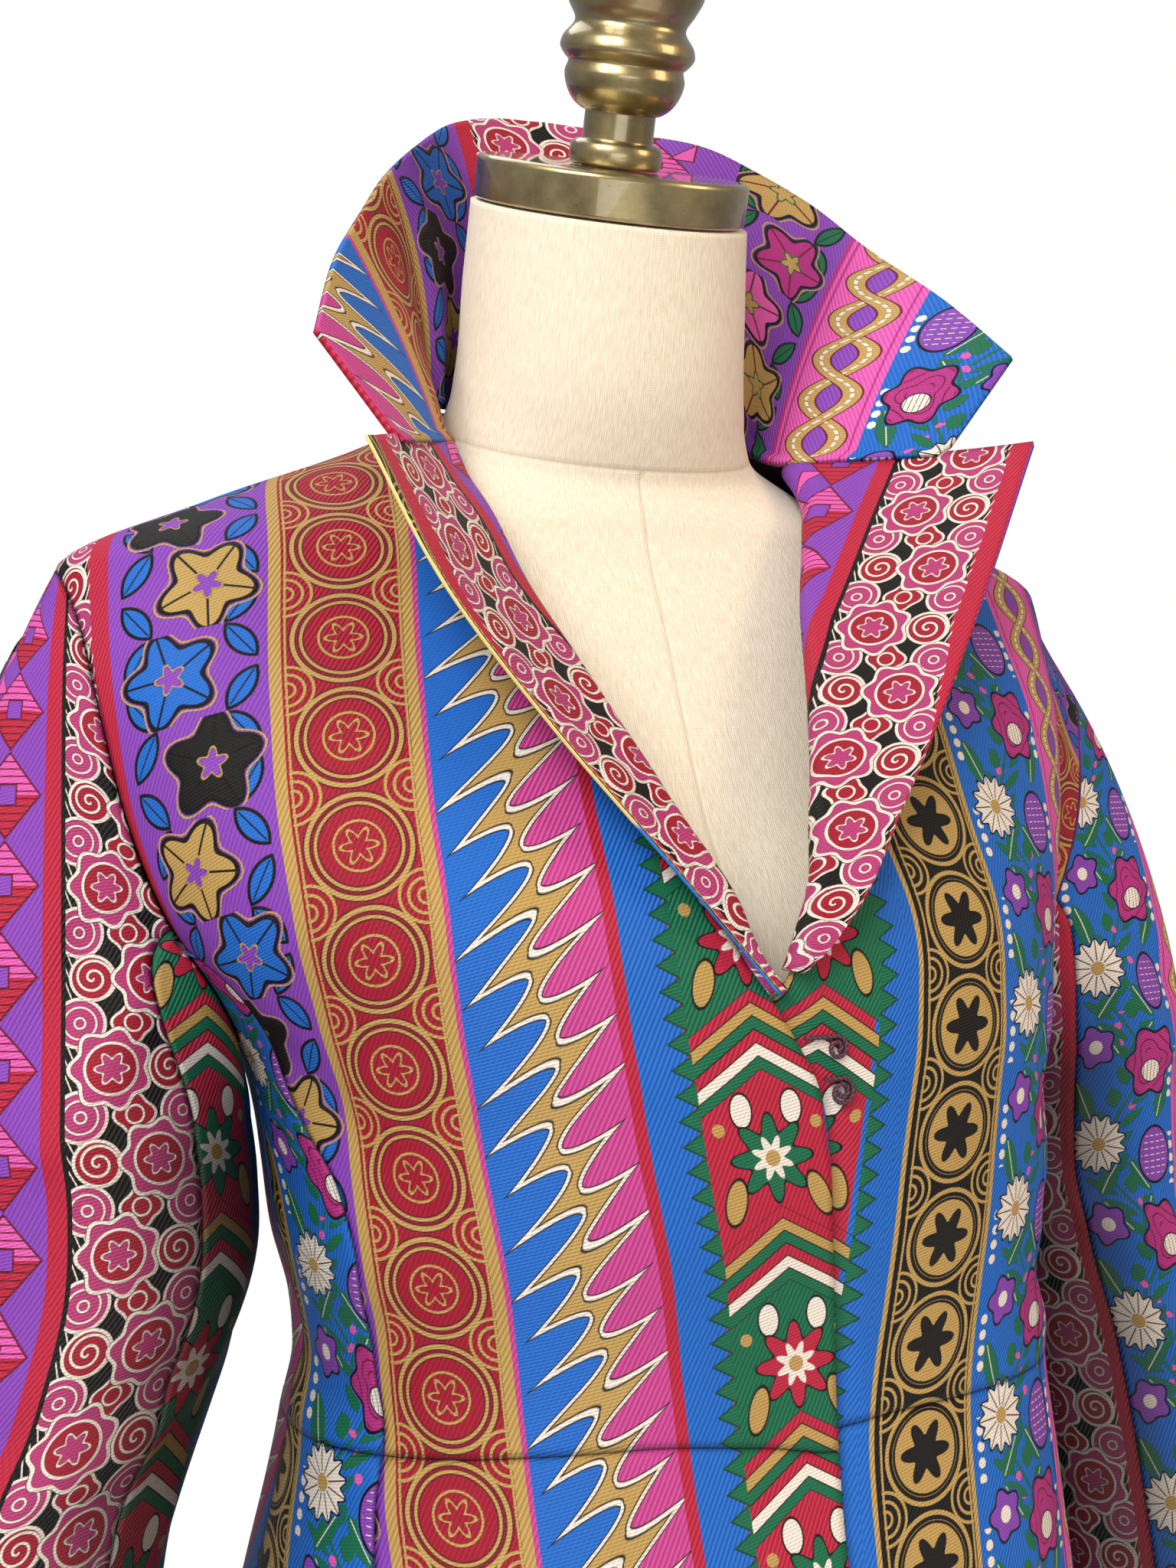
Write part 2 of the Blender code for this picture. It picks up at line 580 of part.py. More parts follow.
def add_object(name, bm, finish, collection, smooth=True):
    """Mesh object from a bmesh in millimetres above the waist seam."""
    bmesh.ops.scale(bm, vec=(MM, MM, MM), verts=bm.verts)
    bmesh.ops.translate(bm, vec=(0.0, 0.0, WAIST_HEIGHT * MM), verts=bm.verts)
    bmesh.ops.recalc_face_normals(bm, faces=bm.faces)
    if bm.calc_volume(signed=True) < 0:
        bmesh.ops.reverse_faces(bm, faces=bm.faces)
    mesh = bpy.data.meshes.new(name)
    bm.to_mesh(mesh)
    bm.free()
    if smooth:
        mesh.shade_smooth()
        mesh.set_sharp_from_angle(angle=math.radians(40))
    mesh.materials.append(material(finish))
    made = bpy.data.objects.new(name, mesh)
    collection.objects.link(made)
    return made


def loft(sections, closed_ring, caps):
    """Surface through rows of points of equal length. A ring is closed on
    itself, and caps are the flat ends of a solid."""
    bm = bmesh.new()
    rows = [[bm.verts.new(point) for point in section] for section in sections]
    columns = len(rows[0])
    last = columns if closed_ring else columns - 1
    for lower, upper in zip(rows[:-1], rows[1:]):
        for k in range(last):
            n = (k + 1) % columns
            bm.faces.new((lower[k], lower[n], upper[n], upper[k]))
    if caps:
        bm.faces.new(rows[0][::-1])
        bm.faces.new(rows[-1])
    return bm


def cloth_wall(name, outer, normals, thickness, collection, finish="brocade"):
    """Cloth of a real thickness: a loft through closed loops, one for each
    row, that run out along the outer face and back along the inner one."""
    inner = outer - normals * thickness
    loops = [np.vstack([outer[k], inner[k][::-1]]) for k in range(len(outer))]
    bm = loft(loops, True, False)
    bm.verts.ensure_lookup_table()
    columns = outer.shape[1]
    for row in (0, len(outer) - 1):
        first = row * 2 * columns
        for k in range(columns - 1):
            quad = [first + k, first + k + 1, first + 2 * columns - 2 - k, first + 2 * columns - 1 - k]
            bm.faces.new([bm.verts[i] for i in quad])
    return add_object(name, bm, finish, collection)


def make_bodice(collection):
    """Fronts, side fronts and backs between the waist seam and the shoulder."""
    half_gap = SEAM_GAP / 2
    for side_sign, side in ((RIGHT, "right"), (LEFT, "left")):
        rows = clear_rows(np.concatenate([BODICE_ROWS, SHOULDER_ROWS]))
        outer = front_outer(side_sign, rows) - half_gap
        grid = panel(side_sign, rows, front_edge(side_sign, rows), outer, 12, lapped(side_sign, rows))
        cloth_wall("front_" + side, *grid, CLOTH, collection)
        rows = clear_rows(np.append(BODICE_ROWS[BODICE_ROWS < PRINCESS_TOP - 1], PRINCESS_TOP - 2.5))
        arm = along_for_depth(side_sign, armhole_y(rows, True), rows)
        outer = np.where(rows > ARMHOLE_BOTTOM, arm, side_seam(side_sign, rows)) - half_gap
        grid = panel(side_sign, rows, princess(side_sign, rows) + half_gap, outer, 5)
        cloth_wall("side_front_" + side, *grid, CLOTH, collection)
        neck = NECK_SIDE_HEIGHT + NECK_BACK_RISE * np.sin(np.radians([0.0, 18.0, 36.0, 54.0, 72.0]))
        rows = clear_rows(np.concatenate([BODICE_ROWS, SHOULDER_ROWS, neck]))
        outer = back_inner(side_sign, rows) + half_gap
        grid = panel(side_sign, rows, outer, centre_back(side_sign, rows) - half_gap, 9)
        cloth_wall("back_" + side, *grid, CLOTH, collection)


def make_skirt(collection):
    """The pieces below the waist seam, cut by the same vertical seams."""
    half_gap = SEAM_GAP / 2
    rows = clear_rows(SKIRT_ROWS)
    for side_sign, side in ((RIGHT, "right"), (LEFT, "left")):
        limits = [edge(side_sign, rows) for edge in (front_edge, princess, side_seam, centre_back)]
        names = ("skirt_front_", "skirt_side_", "skirt_back_")
        for k, columns in enumerate((10, 4, 8)):
            low = limits[k] + half_gap * (k > 0)
            lap = lapped(side_sign, rows) if k == 0 else None
            grid = panel(side_sign, rows, low, limits[k + 1] - half_gap, columns, lap)
            cloth_wall(names[k] + side, *grid, CLOTH, collection)


def make_sleeves(collection):
    """Two-piece sleeves: the top sleeve is two thirds of the way round."""
    step = math.pi / ARMHOLE_STEPS
    seam = SLEEVE_SEAM_STEP * step
    lower = 1.0 + np.array([0.06, 0.16, 0.28, 0.42, 0.58, 0.79, 1.0])
    positions = np.concatenate([np.linspace(0.0, 1.0, 8), lower])
    clear = 0.15 / 55.0
    for side_sign, side in ((RIGHT, "right"), (LEFT, "left")):
        over = np.arange(-SLEEVE_SEAM_STEP, SLEEVE_SEAM_STEP + 1) * step
        over[0], over[-1] = over[0] + clear, over[-1] - clear
        cloth_wall("top_sleeve_" + side, *sleeve_grid(side_sign, over, positions), CLOTH, collection)
        under = np.arange(SLEEVE_SEAM_STEP, 2 * ARMHOLE_STEPS - SLEEVE_SEAM_STEP + 1) * step
        under[0], under[-1] = seam + clear, 2 * math.pi - seam - clear
        cloth_wall("under_sleeve_" + side, *sleeve_grid(side_sign, under, positions), CLOTH, collection)


def make_lapels(collection):
    """Facings turned back over the roll lines, as double cloth."""
    rows = np.concatenate([BODICE_ROWS, SHOULDER_ROWS])
    for side_sign, side, start in ((RIGHT, "right", 163.0), (LEFT, "left", 169.5)):
        inner = rows[(rows > start + 4.0) & (rows < LAPEL_TOP - 3.0) & (np.abs(rows - 317.1) > 0.1)]
        heights = np.concatenate([[start], inner, [LAPEL_TOP]])
        points, normals = lapel_grid(side_sign, heights, 4, 3)
        cloth_wall("lapel_" + side, points, normals, LAPEL_THICKNESS, collection)


def make_collar(collection):
    """Tall pointed collar, one wall with the same cloth on both faces."""
    points, normals = collar_surface(33, 6)
    cloth_wall("collar", points + normals * COLLAR_THICKNESS / 2, normals, COLLAR_THICKNESS, collection)


def make_coils(collection):
    """Closure cords wound into flat spirals on the left front, each with a
    short end that runs to the edge of the right front."""
    for coil in COILS:
        count = int(coil["turns"] * 12) + 1
        angle = np.linspace(0.0, coil["turns"] * 2 * math.pi, count)
        radius = 1.15 + COIL_PITCH * angle / (2 * math.pi)
        outer = angle - angle[-1] + math.pi / 2
        side = coil["side"] + radius * np.cos(outer)
        height = coil["height"] + radius * np.sin(outer)
        edge = float(column(FRONT_EDGE, "right", coil["height"]))
        side = np.append(side, [edge + 0.9])
        height = np.append(height, [height[-1]])
        along = along_for_side(LEFT, side, height)
        points = torso(LEFT, along, height)
        normals = torso_normal(LEFT, along, height)
        route = points + normals * (COIL_CORD / 2 + SEAM_GAP)
        curve = bpy.data.curves.new(coil["name"], "CURVE")
        curve.dimensions = "3D"
        curve.bevel_depth = COIL_CORD / 2 * MM
        curve.bevel_resolution = 1
        curve.use_fill_caps = True
        spline = curve.splines.new("POLY")
        spline.points.add(len(route) - 1)
        for point, place in zip(spline.points, route):
            point.co = (place[0] * MM, place[1] * MM, (place[2] + WAIST_HEIGHT) * MM, 1.0)
        curve.materials.append(material("cord"))
        collection.objects.link(bpy.data.objects.new(coil["name"], curve))


def form_ring(height, inset=0.0, columns=FORM_COLUMNS):
    """One closed, tilted ring of the dress form."""
    value = {name: float(column(FORM_RINGS, name, height)) for name in
             ("x", "y", "half_width", "front", "back", "tilt", "lean")}
    angle = np.linspace(0.0, 2 * math.pi, columns, endpoint=False)
    power = 2.0 / FORM_SQUARENESS
    x = np.sign(np.sin(angle)) * np.abs(np.sin(angle)) ** power * (value["half_width"] - inset)
    depth = np.where(np.cos(angle) > 0, value["front"], value["back"]) - inset
    y = -np.sign(np.cos(angle)) * np.abs(np.cos(angle)) ** power * depth
    tilt, lean = math.radians(value["tilt"]), math.radians(value["lean"])
    rise = y * math.sin(tilt) + x * math.sin(lean)
    across = value["x"] + x * math.cos(lean)
    deep = value["y"] + y * math.cos(tilt)
    return np.stack([across, deep, height + rise], axis=-1)


def make_form(collection):
    """Padded torso and neck in one linen-covered body, on a flat board."""
    heights = [-290, -247, -205, -160, -120, -78, -38, 0, 30, 60, 95, 127, 150, 170, 195, 222,
               260, 285, 305, 322, 333, 342, 350, 358, 368, 377, 388, 402, 422, 445, 468.1]
    sections = [form_ring(h) for h in heights]
    add_object("form_torso", loft(sections, True, True), "linen", collection)
    edge = form_ring(FORM_RINGS["height"][0], BOARD_INSET)
    drop = np.array([0.0, 0.0, -1.0])
    board = [edge + drop * BOARD_THICKNESS, edge + drop * SEAM_GAP]
    add_object("base_board", loft(board, True, True), "oiled_wood", collection)


def turned(name, profile, finish, collection, sides):
    """Turned solid: a profile of heights and radii on the tilted axis of the
    neck cap, spun with a Screw modifier."""
    mesh = bpy.data.meshes.new(name)
    points = [(radius * MM, 0.0, height * MM) for height, radius in reversed(profile)]
    mesh.from_pydata(points, [(k, k + 1) for k in range(len(points) - 1)], [])
    mesh.materials.append(material(finish))
    made = bpy.data.objects.new(name, mesh)
    collection.objects.link(made)
    spin = made.modifiers.new("spin", "SCREW")
    spin.steps = spin.render_steps = sides
    spin.use_merge_vertices = True
    spin.merge_threshold = 0.00001
    spin.use_smooth_shade = True
    x, y, z = CAP_CENTRE
    made.location = (x * MM, y * MM, (z + WAIST_HEIGHT) * MM)
    made.rotation_euler = (math.radians(CAP_TILT), -math.radians(CAP_LEAN), 0.0)
    return made


def make_brass(collection):
    """Neck cap with rounded rims, and the turned finial on it."""
    low, edge = -CAP_THICKNESS + SEAM_GAP, 2.0
    cap = [(low, 0.0), (low, CAP_RADIUS - 1.0), (low + 1.0, CAP_RADIUS), (-edge, CAP_RADIUS),
           (-edge * 0.3, CAP_RADIUS - edge * 0.3), (0.0, CAP_RADIUS - edge), (0.0, 0.0)]
    turned("neck_cap", cap, "antique_brass", collection, 48)
    profile = list(zip(FINIAL_PROFILE["height"], FINIAL_PROFILE["radius"]))
    turned("finial", profile, "antique_brass", collection, 32)


def main():
    for leftover in list(bpy.data.objects):
        bpy.data.objects.remove(leftover, do_unlink=True)
    collection = bpy.data.collections.new("blazer_on_dress_form")
    bpy.context.scene.collection.children.link(collection)
    make_bodice(collection)
    make_skirt(collection)
    make_sleeves(collection)
    make_lapels(collection)
    make_collar(collection)
    make_coils(collection)
    make_form(collection)
    make_brass(collection)


main()
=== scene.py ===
# %% [markdown]
# # Brocade blazer on a linen dress form
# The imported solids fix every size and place. The cells below dress them: each
# cut piece of the blazer becomes a thin shell of cloth with its own creases,
# and striped brocade is drawn on it in the cloth's own coordinates.

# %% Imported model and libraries
import ast
import json
import math
import operator

import bpy
import mathutils
import numpy as np
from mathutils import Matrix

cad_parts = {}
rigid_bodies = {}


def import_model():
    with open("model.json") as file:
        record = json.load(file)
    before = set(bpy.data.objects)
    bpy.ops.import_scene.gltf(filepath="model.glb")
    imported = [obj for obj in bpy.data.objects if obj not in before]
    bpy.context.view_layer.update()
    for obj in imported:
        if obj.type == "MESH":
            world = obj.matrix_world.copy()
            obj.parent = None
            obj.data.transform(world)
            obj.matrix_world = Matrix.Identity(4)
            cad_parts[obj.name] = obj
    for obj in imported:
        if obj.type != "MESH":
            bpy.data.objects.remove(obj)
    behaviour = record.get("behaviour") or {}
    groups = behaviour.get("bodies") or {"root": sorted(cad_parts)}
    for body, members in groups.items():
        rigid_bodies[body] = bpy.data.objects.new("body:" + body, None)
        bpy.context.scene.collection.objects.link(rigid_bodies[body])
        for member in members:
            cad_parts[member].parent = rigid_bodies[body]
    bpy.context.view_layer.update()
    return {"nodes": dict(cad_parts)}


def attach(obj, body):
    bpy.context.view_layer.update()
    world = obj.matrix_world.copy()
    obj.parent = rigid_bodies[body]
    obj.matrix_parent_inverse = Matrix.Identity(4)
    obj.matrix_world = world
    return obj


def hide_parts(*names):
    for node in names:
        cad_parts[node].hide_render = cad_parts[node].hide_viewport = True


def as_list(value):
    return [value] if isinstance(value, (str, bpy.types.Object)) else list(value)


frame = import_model()
scene = bpy.context.scene
MM = 0.001
WAIST_HEIGHT = 310.0
FULL_TURN = 2 * math.pi
RIGHT, LEFT = -1, 1
SIDES = {RIGHT: "right", LEFT: "left"}

# %% [markdown]
# ## Camera, light and floor
# The camera stands low in front of the wearer's right side, close enough for
# the near sleeve to look larger. Two tall soft panes on that side give the
# broad shine of satin threads. A warm light from the other side, a pale card
# low in front and a light from above open the shadows.

# %% Camera
FRAME_HEIGHT, FOCAL_PIXELS = 2048.0, 2152.3
CAMERA_PLACE = (-0.27724, -0.60386, 0.52098)
TURN, TIP, ROLL = (math.radians(degrees) for degrees in (-23.775, -2.505, -2.035))


def unit(vectors):
    """Vectors scaled to length 1."""
    return vectors / np.maximum(np.linalg.norm(vectors, axis=-1, keepdims=True), 1e-9)


def camera_axes(turn, tip, roll):
    """Right, up and back directions of a camera turned about Z, tipped down
    and then rolled about its own view line."""
    look = np.array([-math.sin(turn) * math.cos(tip), math.cos(turn) * math.cos(tip), -math.sin(tip)])
    level = np.array([math.cos(turn), math.sin(turn), 0.0])
    above = np.cross(level, look)
    across = math.cos(roll) * level + math.sin(roll) * above
    upward = -math.sin(roll) * level + math.cos(roll) * above
    return np.stack([across, upward, -look], axis=1)


def stand(made, axes, place):
    """Camera or light put in the scene at a place, its axes as columns."""
    matrix = np.eye(4)
    matrix[:3, :3], matrix[:3, 3] = axes, place
    made.matrix_world = mathutils.Matrix(matrix.tolist())
    scene.collection.objects.link(made)
    return made


lens = bpy.data.cameras.new("camera")
lens.sensor_fit = "VERTICAL"
lens.angle = 2.0 * math.atan(FRAME_HEIGHT / 2 / FOCAL_PIXELS)
lens.clip_start = 0.02
scene.camera = stand(bpy.data.objects.new("camera", lens), camera_axes(TURN, TIP, ROLL), CAMERA_PLACE)
scene.view_settings.view_transform = "Standard"
print("camera at", CAMERA_PLACE, "field of view", round(math.degrees(lens.angle), 1))


# %% Colours, nodes and materials
def srgb(code):
    """Hex colour to linear: each channel c becomes ((c + 0.055) / 1.055) to
    the power 2.4, or c / 12.92 where it is below 0.04045."""
    channels = [int(code[i:i + 2], 16) / 255.0 for i in (1, 3, 5)]
    linear = [c / 12.92 if c <= 0.04045 else ((c + 0.055) / 1.055) ** 2.4 for c in channels]
    return (*linear, 1.0)


def set_inputs(node, inputs):
    """Each input of a node linked, where it is given a socket, or set."""
    for key, value in inputs.items():
        if isinstance(value, bpy.types.NodeSocket):
            node.id_data.links.new(value, node.inputs[key])
        else:
            node.inputs[key].default_value = value


def add_node(tree, kind, inputs=None, **settings):
    """One node with its settings, and its inputs linked or set."""
    node = tree.nodes.new(kind)
    for name, value in settings.items():
        setattr(node, name, value)
    set_inputs(node, inputs or {})
    return node


def new_material(name):
    """Material and its node tree, which starts with a Principled shader."""
    made = bpy.data.materials.new(name)
    made.use_nodes = True
    return made, made.node_tree


def lay_over(tree, colour, *layers):
    """Colour after further ones are laid over it, each by its own mask."""
    for mask, code in layers:
        inputs = {0: mask, 6: colour, 7: srgb(code)}
        colour = add_node(tree, "ShaderNodeMix", inputs, data_type="RGBA").outputs[2]
    return colour


def finish(tree, colour, height, inputs, strength=1.0, depth=0.001):
    """Colour, relief and constants of a material, on its shader."""
    bump = add_node(tree, "ShaderNodeBump", {"Height": height, "Strength": strength, "Distance": depth})
    set_inputs(tree.nodes["Principled BSDF"], {"Base Color": colour, "Normal": bump.outputs[0], **inputs})


# %% World and lights
world = bpy.data.worlds.new("white studio")
world.use_nodes = True
sky = world.node_tree
sky.nodes.clear()
seen = add_node(sky, "ShaderNodeLightPath").outputs["Is Camera Ray"]
room = add_node(sky, "ShaderNodeBackground", {"Color": srgb("#F1F0F2"), "Strength": 0.36})
paper = add_node(sky, "ShaderNodeBackground", {"Color": srgb("#FFFFFF"), "Strength": 1.0})
both = add_node(sky, "ShaderNodeMixShader", {0: seen, 1: room.outputs[0], 2: paper.outputs[0]})
add_node(sky, "ShaderNodeOutputWorld", {"Surface": both.outputs[0]})
scene.world = world


def soft_light(name, place, target_height, width, height, power, colour):
    """Rectangular area light whose own -Z points from its place to a point
    above the middle of the floor."""
    light = bpy.data.lights.new(name, "AREA")
    light.shape = "RECTANGLE"
    light.size, light.size_y, light.energy = width, height, power
    light.color = srgb(colour)[:3]
    back = unit(np.array(place) - np.array([0.0, 0.0, target_height]))
    across = unit(np.cross([0.0, 0.0, 1.0], back))
    axes = np.stack([across, np.cross(back, across), back], axis=1)
    stand(bpy.data.objects.new(name, light), axes, place)


soft_light("window, near pane", (-1.62, -1.02, 1.6), 0.6, 0.5, 1.3, 28.0, "#FFFAF4")
soft_light("window, far pane", (-1.12, -1.46, 1.6), 0.6, 0.5, 1.3, 28.0, "#FFFAF4")
soft_light("warm light from the right", (1.3, -1.3, 1.2), 0.6, 0.7, 1.0, 17.0, "#FFDDB4")
soft_light("pale card, low in front", (-0.5, -1.6, 0.1), 0.75, 1.2, 0.4, 4.5, "#FFFFFF")
soft_light("top light", (-0.1, 0.5, 2.2), 0.6, 1.2, 1.2, 9.0, "#FFFFFF")
print("lights:", len(bpy.data.lights))


# %% Floor
def surface_mesh(name, points, faces, smooth=True):
    """Mesh object from points in metres and a list of faces."""
    mesh = bpy.data.meshes.new(name)
    mesh.from_pydata(points.reshape(-1, 3).tolist(), [], faces)
    mesh.update()
    if smooth:
        mesh.shade_smooth()
    made = bpy.data.objects.new(name, mesh)
    scene.collection.objects.link(made)
    return made


FLOOR_RADIUS, FLOOR_POINTS, FLOOR_DROP = 0.5, 128, 0.0005
around = np.linspace(0.0, FULL_TURN, FLOOR_POINTS, endpoint=False)
floor_points = np.stack([FLOOR_RADIUS * np.cos(around), FLOOR_RADIUS * np.sin(around),
                         np.full(FLOOR_POINTS, -FLOOR_DROP)], axis=-1)
floor = surface_mesh("studio_floor", floor_points, [tuple(range(FLOOR_POINTS))], smooth=False)
floor_finish, tree = new_material("white paper floor")
set_inputs(tree.nodes["Principled BSDF"], {
    "Base Color": srgb("#F6F5F2"), "Roughness": 0.9,
    "Emission Color": srgb("#FFFFFF"), "Emission Strength": 0.35})
floor.data.materials.append(floor_finish)
print("floor:", 2 * FLOOR_RADIUS, "m across")

# %% [markdown]
# ## The surface of the body
# A blazer is cut flat and takes its shape over a body. Here the body is a
# stack of rings, and any point on the cloth is found from its height and from
# its distance round the ring. Seams, edges and stripes are all lines in those
# two measures, which is how a maker marks them on the cloth as well.

# %% Tables of the body and of the cut
BLAZER_RINGS = {
    "height": (-205, -120, -46, -15, 14, 33, 52, 77, 104, 121, 142,
               164, 193, 228, 265, 300, 320, 347, 372, 384, 402),
    "half_right": (188, 174, 153, 145, 138, 134, 135, 141, 144, 146, 151,
                   164, 185, 201, 210, 214, 213, 161, 99, 76, 60),
    "half_left": (192, 181, 170, 166, 164, 163, 163, 163, 165, 168, 173,
                  180, 190, 202, 210, 214, 213, 161, 99, 76, 60),
    "front": (124, 119, 111, 106, 104, 105, 108, 113, 117, 119, 121,
              121, 115, 101, 85, 66, 55, 38, 19, 10, 4),
    "back": (150, 138, 114, 101, 97, 97, 99, 102, 105, 108, 110,
             114, 118, 121, 117, 104, 94, 77, 64, 59, 54),
    "side_y": (0, 0, 0, 0, 0, 0, 0, 0, 0, 0, 0, 1, 3, 5, 8, 11, 12, 11, 9, 8, 8),
    "square_right": (2.1, 2.1, 2.2, 2.2, 2.2, 2.2, 2.2, 2.2, 2.2, 2.2, 2.3,
                     2.3, 2.4, 2.4, 2.4, 2.3, 2.3, 2.2, 2.1, 2.1, 2.1),
    "square_left": (2.3, 2.5, 2.8, 3.0, 3.0, 3.0, 3.0, 3.0, 2.9, 2.8, 2.7,
                    2.5, 2.4, 2.4, 2.4, 2.3, 2.3, 2.2, 2.1, 2.1, 2.1),
}
BACK_SQUARENESS = 2.25
FRONT_EDGE = {
    "height": (-205, -35, 8, 43, 73, 108, 131, 144, 162, 172, 185,
               200, 216, 236, 257, 278, 306, 333, 350, 372, 386),
    "right": (28, 28, 29, 28, 25, 22, 17, 10, -1, -8, -14,
              -20, -28, -37, -47, -56, -67, -73, -77, -76, -75),
    "left": (-10, -10, -11, -12, -13, -13, -9, -5, 3, 10, 18,
             26, 31, 38, 44, 50, 59, 71, 79, 81, 78),
}
PRINCESS_SEAM = {
    "height": (-205, -28, 12, 31, 59, 85, 109, 116, 145, 168, 191),
    "right": (138, 126, 121, 121, 124, 128, 134, 137, 148, 161, 184),
    "left": (148, 140, 136, 136, 137, 140, 144, 147, 158, 170, 188),
}
WAIST_LIFT = {
    RIGHT: {"along": (-40, -30, 0, 50, 70, 130, 200, 420), "lift": (2, 2, 8, 14, 14, 12, 10, 9)},
    LEFT: {"along": (-40, 20, 50, 110, 200, 420), "lift": (5, 7, 11, 10, 9, 9)},
}

SEAM_GAP, CLOTH, LAPEL_THICKNESS, COLLAR_THICKNESS = 0.3, 2.0, 3.0, 2.6
OVERLAP_TUCK, LAP_SLOPE, LAP_MARGIN, OVERLAP_TOP, OVERLAP_FADE = 3.2, 9.0, 1.5, 166.0, 8.0
WAIST_LIFT_FADE = 100.0
ARMHOLE_HEIGHT, ARMHOLE_HALF_HEIGHT = 234.0, 86.0
ARMHOLE_FRONT, ARMHOLE_BACK, ARMHOLE_TOP_Y = 35.0, 50.0, 12.0
ARMHOLE_BOTTOM, ARMHOLE_TOP = 148.0, 320.0
PRINCESS_TOP = ARMHOLE_HEIGHT + ARMHOLE_HALF_HEIGHT * math.cos(math.radians(120.0))
NECK_SIDE_HEIGHT, NECK_BACK_RISE, NECK_HALF_WIDTH, HEM_HEIGHT = 384.0, 18.0, 75.0, -205.0
print("rings of the body:", len(BLAZER_RINGS["height"]))


# %% Reading the tables
def smooth_table(x, knots, values):
    """Smooth curve through a table: a cubic between knots, with the slope at
    each knot taken from its neighbours and set level at a turning point."""
    x = np.clip(np.asarray(x, float), knots[0], knots[-1])
    knots, values = np.asarray(knots, float), np.asarray(values, float)
    step = np.diff(knots)
    rise = np.diff(values) / step
    slope = np.empty_like(values)
    slope[0], slope[-1] = rise[0], rise[-1]
    weight = step[1:] / (step[:-1] + step[1:])
    mean = rise[:-1] * weight + rise[1:] * (1.0 - weight)
    limit = 3.0 * np.minimum(np.abs(rise[:-1]), np.abs(rise[1:]))
    turning = rise[:-1] * rise[1:] <= 0
    slope[1:-1] = np.where(turning, 0.0, np.sign(mean) * np.minimum(np.abs(mean), limit))
    i = np.clip(np.searchsorted(knots, x, side="right") - 1, 0, len(step) - 1)
    t = (x - knots[i]) / step[i]
    start = values[i] * (1 + 2 * t) + slope[i] * step[i] * t
    end = values[i + 1] * (3 - 2 * t) - slope[i + 1] * step[i] * (1 - t)
    return start * (1 - t) ** 2 + end * t ** 2


def ramp(x, start, end):
    """0 at the start, 1 at the end, straight between and level beyond."""
    return np.clip((x - start) / (end - start), 0.0, 1.0)


def column(table, name, height):
    """One column of a table, read smoothly at a height."""
    return smooth_table(height, table["height"], table[name])


HALF_RING, QUARTER_RING = 360, 180


def ring_curve(side_sign, height):
    """Half ring at each height. With w the angle from the centre front, the
    side distance is the half width times sin(w) to the power 2/n, and the
    depth follows cos(w) to the same power: a superellipse of squareness n."""
    height = np.atleast_1d(np.asarray(height, float))[:, None]
    half, front, back, middle = (column(BLAZER_RINGS, key, height)
                                 for key in ("half_" + SIDES[side_sign], "front", "back", "side_y"))
    angle = np.linspace(0.0, math.pi, HALF_RING + 1)[None, :]
    square = column(BLAZER_RINGS, "square_" + SIDES[side_sign], height)
    power = 2.0 / np.where(np.cos(angle) > 0, square, BACK_SQUARENESS)
    side = half * np.abs(np.sin(angle)) ** power
    reach = np.abs(np.cos(angle)) ** power
    y = np.where(np.cos(angle) > 0, middle - (front + middle) * reach, middle + (back - middle) * reach)
    steps = np.hypot(np.diff(side, axis=1), np.diff(y, axis=1))
    length = np.concatenate([np.zeros((len(side), 1)), np.cumsum(steps, axis=1)], axis=1)
    return side, y, length


# %% The body as a chart of distance and height
CHART_LOW = -208.0
CHART_HEIGHTS = np.arange(CHART_LOW, 404.0)
CHART_ALONG = np.arange(0.0, 600.0)


def body_chart(side_sign):
    """Side distance and y for each whole millimetre of height and of
    distance round the half ring."""
    side, y, length = ring_curve(side_sign, CHART_HEIGHTS)
    rows = [[np.interp(CHART_ALONG, s, values) for values in (a, b)] for a, b, s in zip(side, y, length)]
    return np.array(rows).transpose(1, 0, 2)


CHARTS = {side_sign: body_chart(side_sign) for side_sign in SIDES}


def read_chart(chart, along, height):
    """Value between four neighbours of a chart, weighted by nearness."""
    a = np.clip(along, 0.0, CHART_ALONG[-1] - 0.001)
    h = np.clip(height - CHART_LOW, 0.0, len(CHART_HEIGHTS) - 1.001)
    i, j = h.astype(int), a.astype(int)
    s, t = h - i, a - j
    low = chart[:, i, j] * (1 - t) + chart[:, i, j + 1] * t
    high = chart[:, i + 1, j] * (1 - t) + chart[:, i + 1, j + 1] * t
    return low * (1 - s) + high * s


def torso(side_sign, along, height):
    """Point of the body from its distance round the ring and its height. A
    negative distance is past the centre front, on the other half."""
    along, height = np.broadcast_arrays(np.asarray(along, float), np.asarray(height, float))
    own = read_chart(CHARTS[side_sign], along, height)
    other = read_chart(CHARTS[-side_sign], -along, height)
    x = np.where(along >= 0, own[0] * side_sign, -other[0] * side_sign)
    return np.stack([x, np.where(along >= 0, own[1], other[1]), height], axis=-1)


def torso_normal(side_sign, along, height):
    """Outward direction: the cross product of the step round the ring and
    the step up it, each over 3 mm."""
    e = 1.5
    across = torso(side_sign, along + e, height) - torso(side_sign, along - e, height)
    top = BLAZER_RINGS["height"][-1]
    upper, lower = np.minimum(height + e, top), np.minimum(height, top - e) - e
    up = torso(side_sign, along, upper) - torso(side_sign, along, lower)
    return unit(np.cross(across, up)) * side_sign


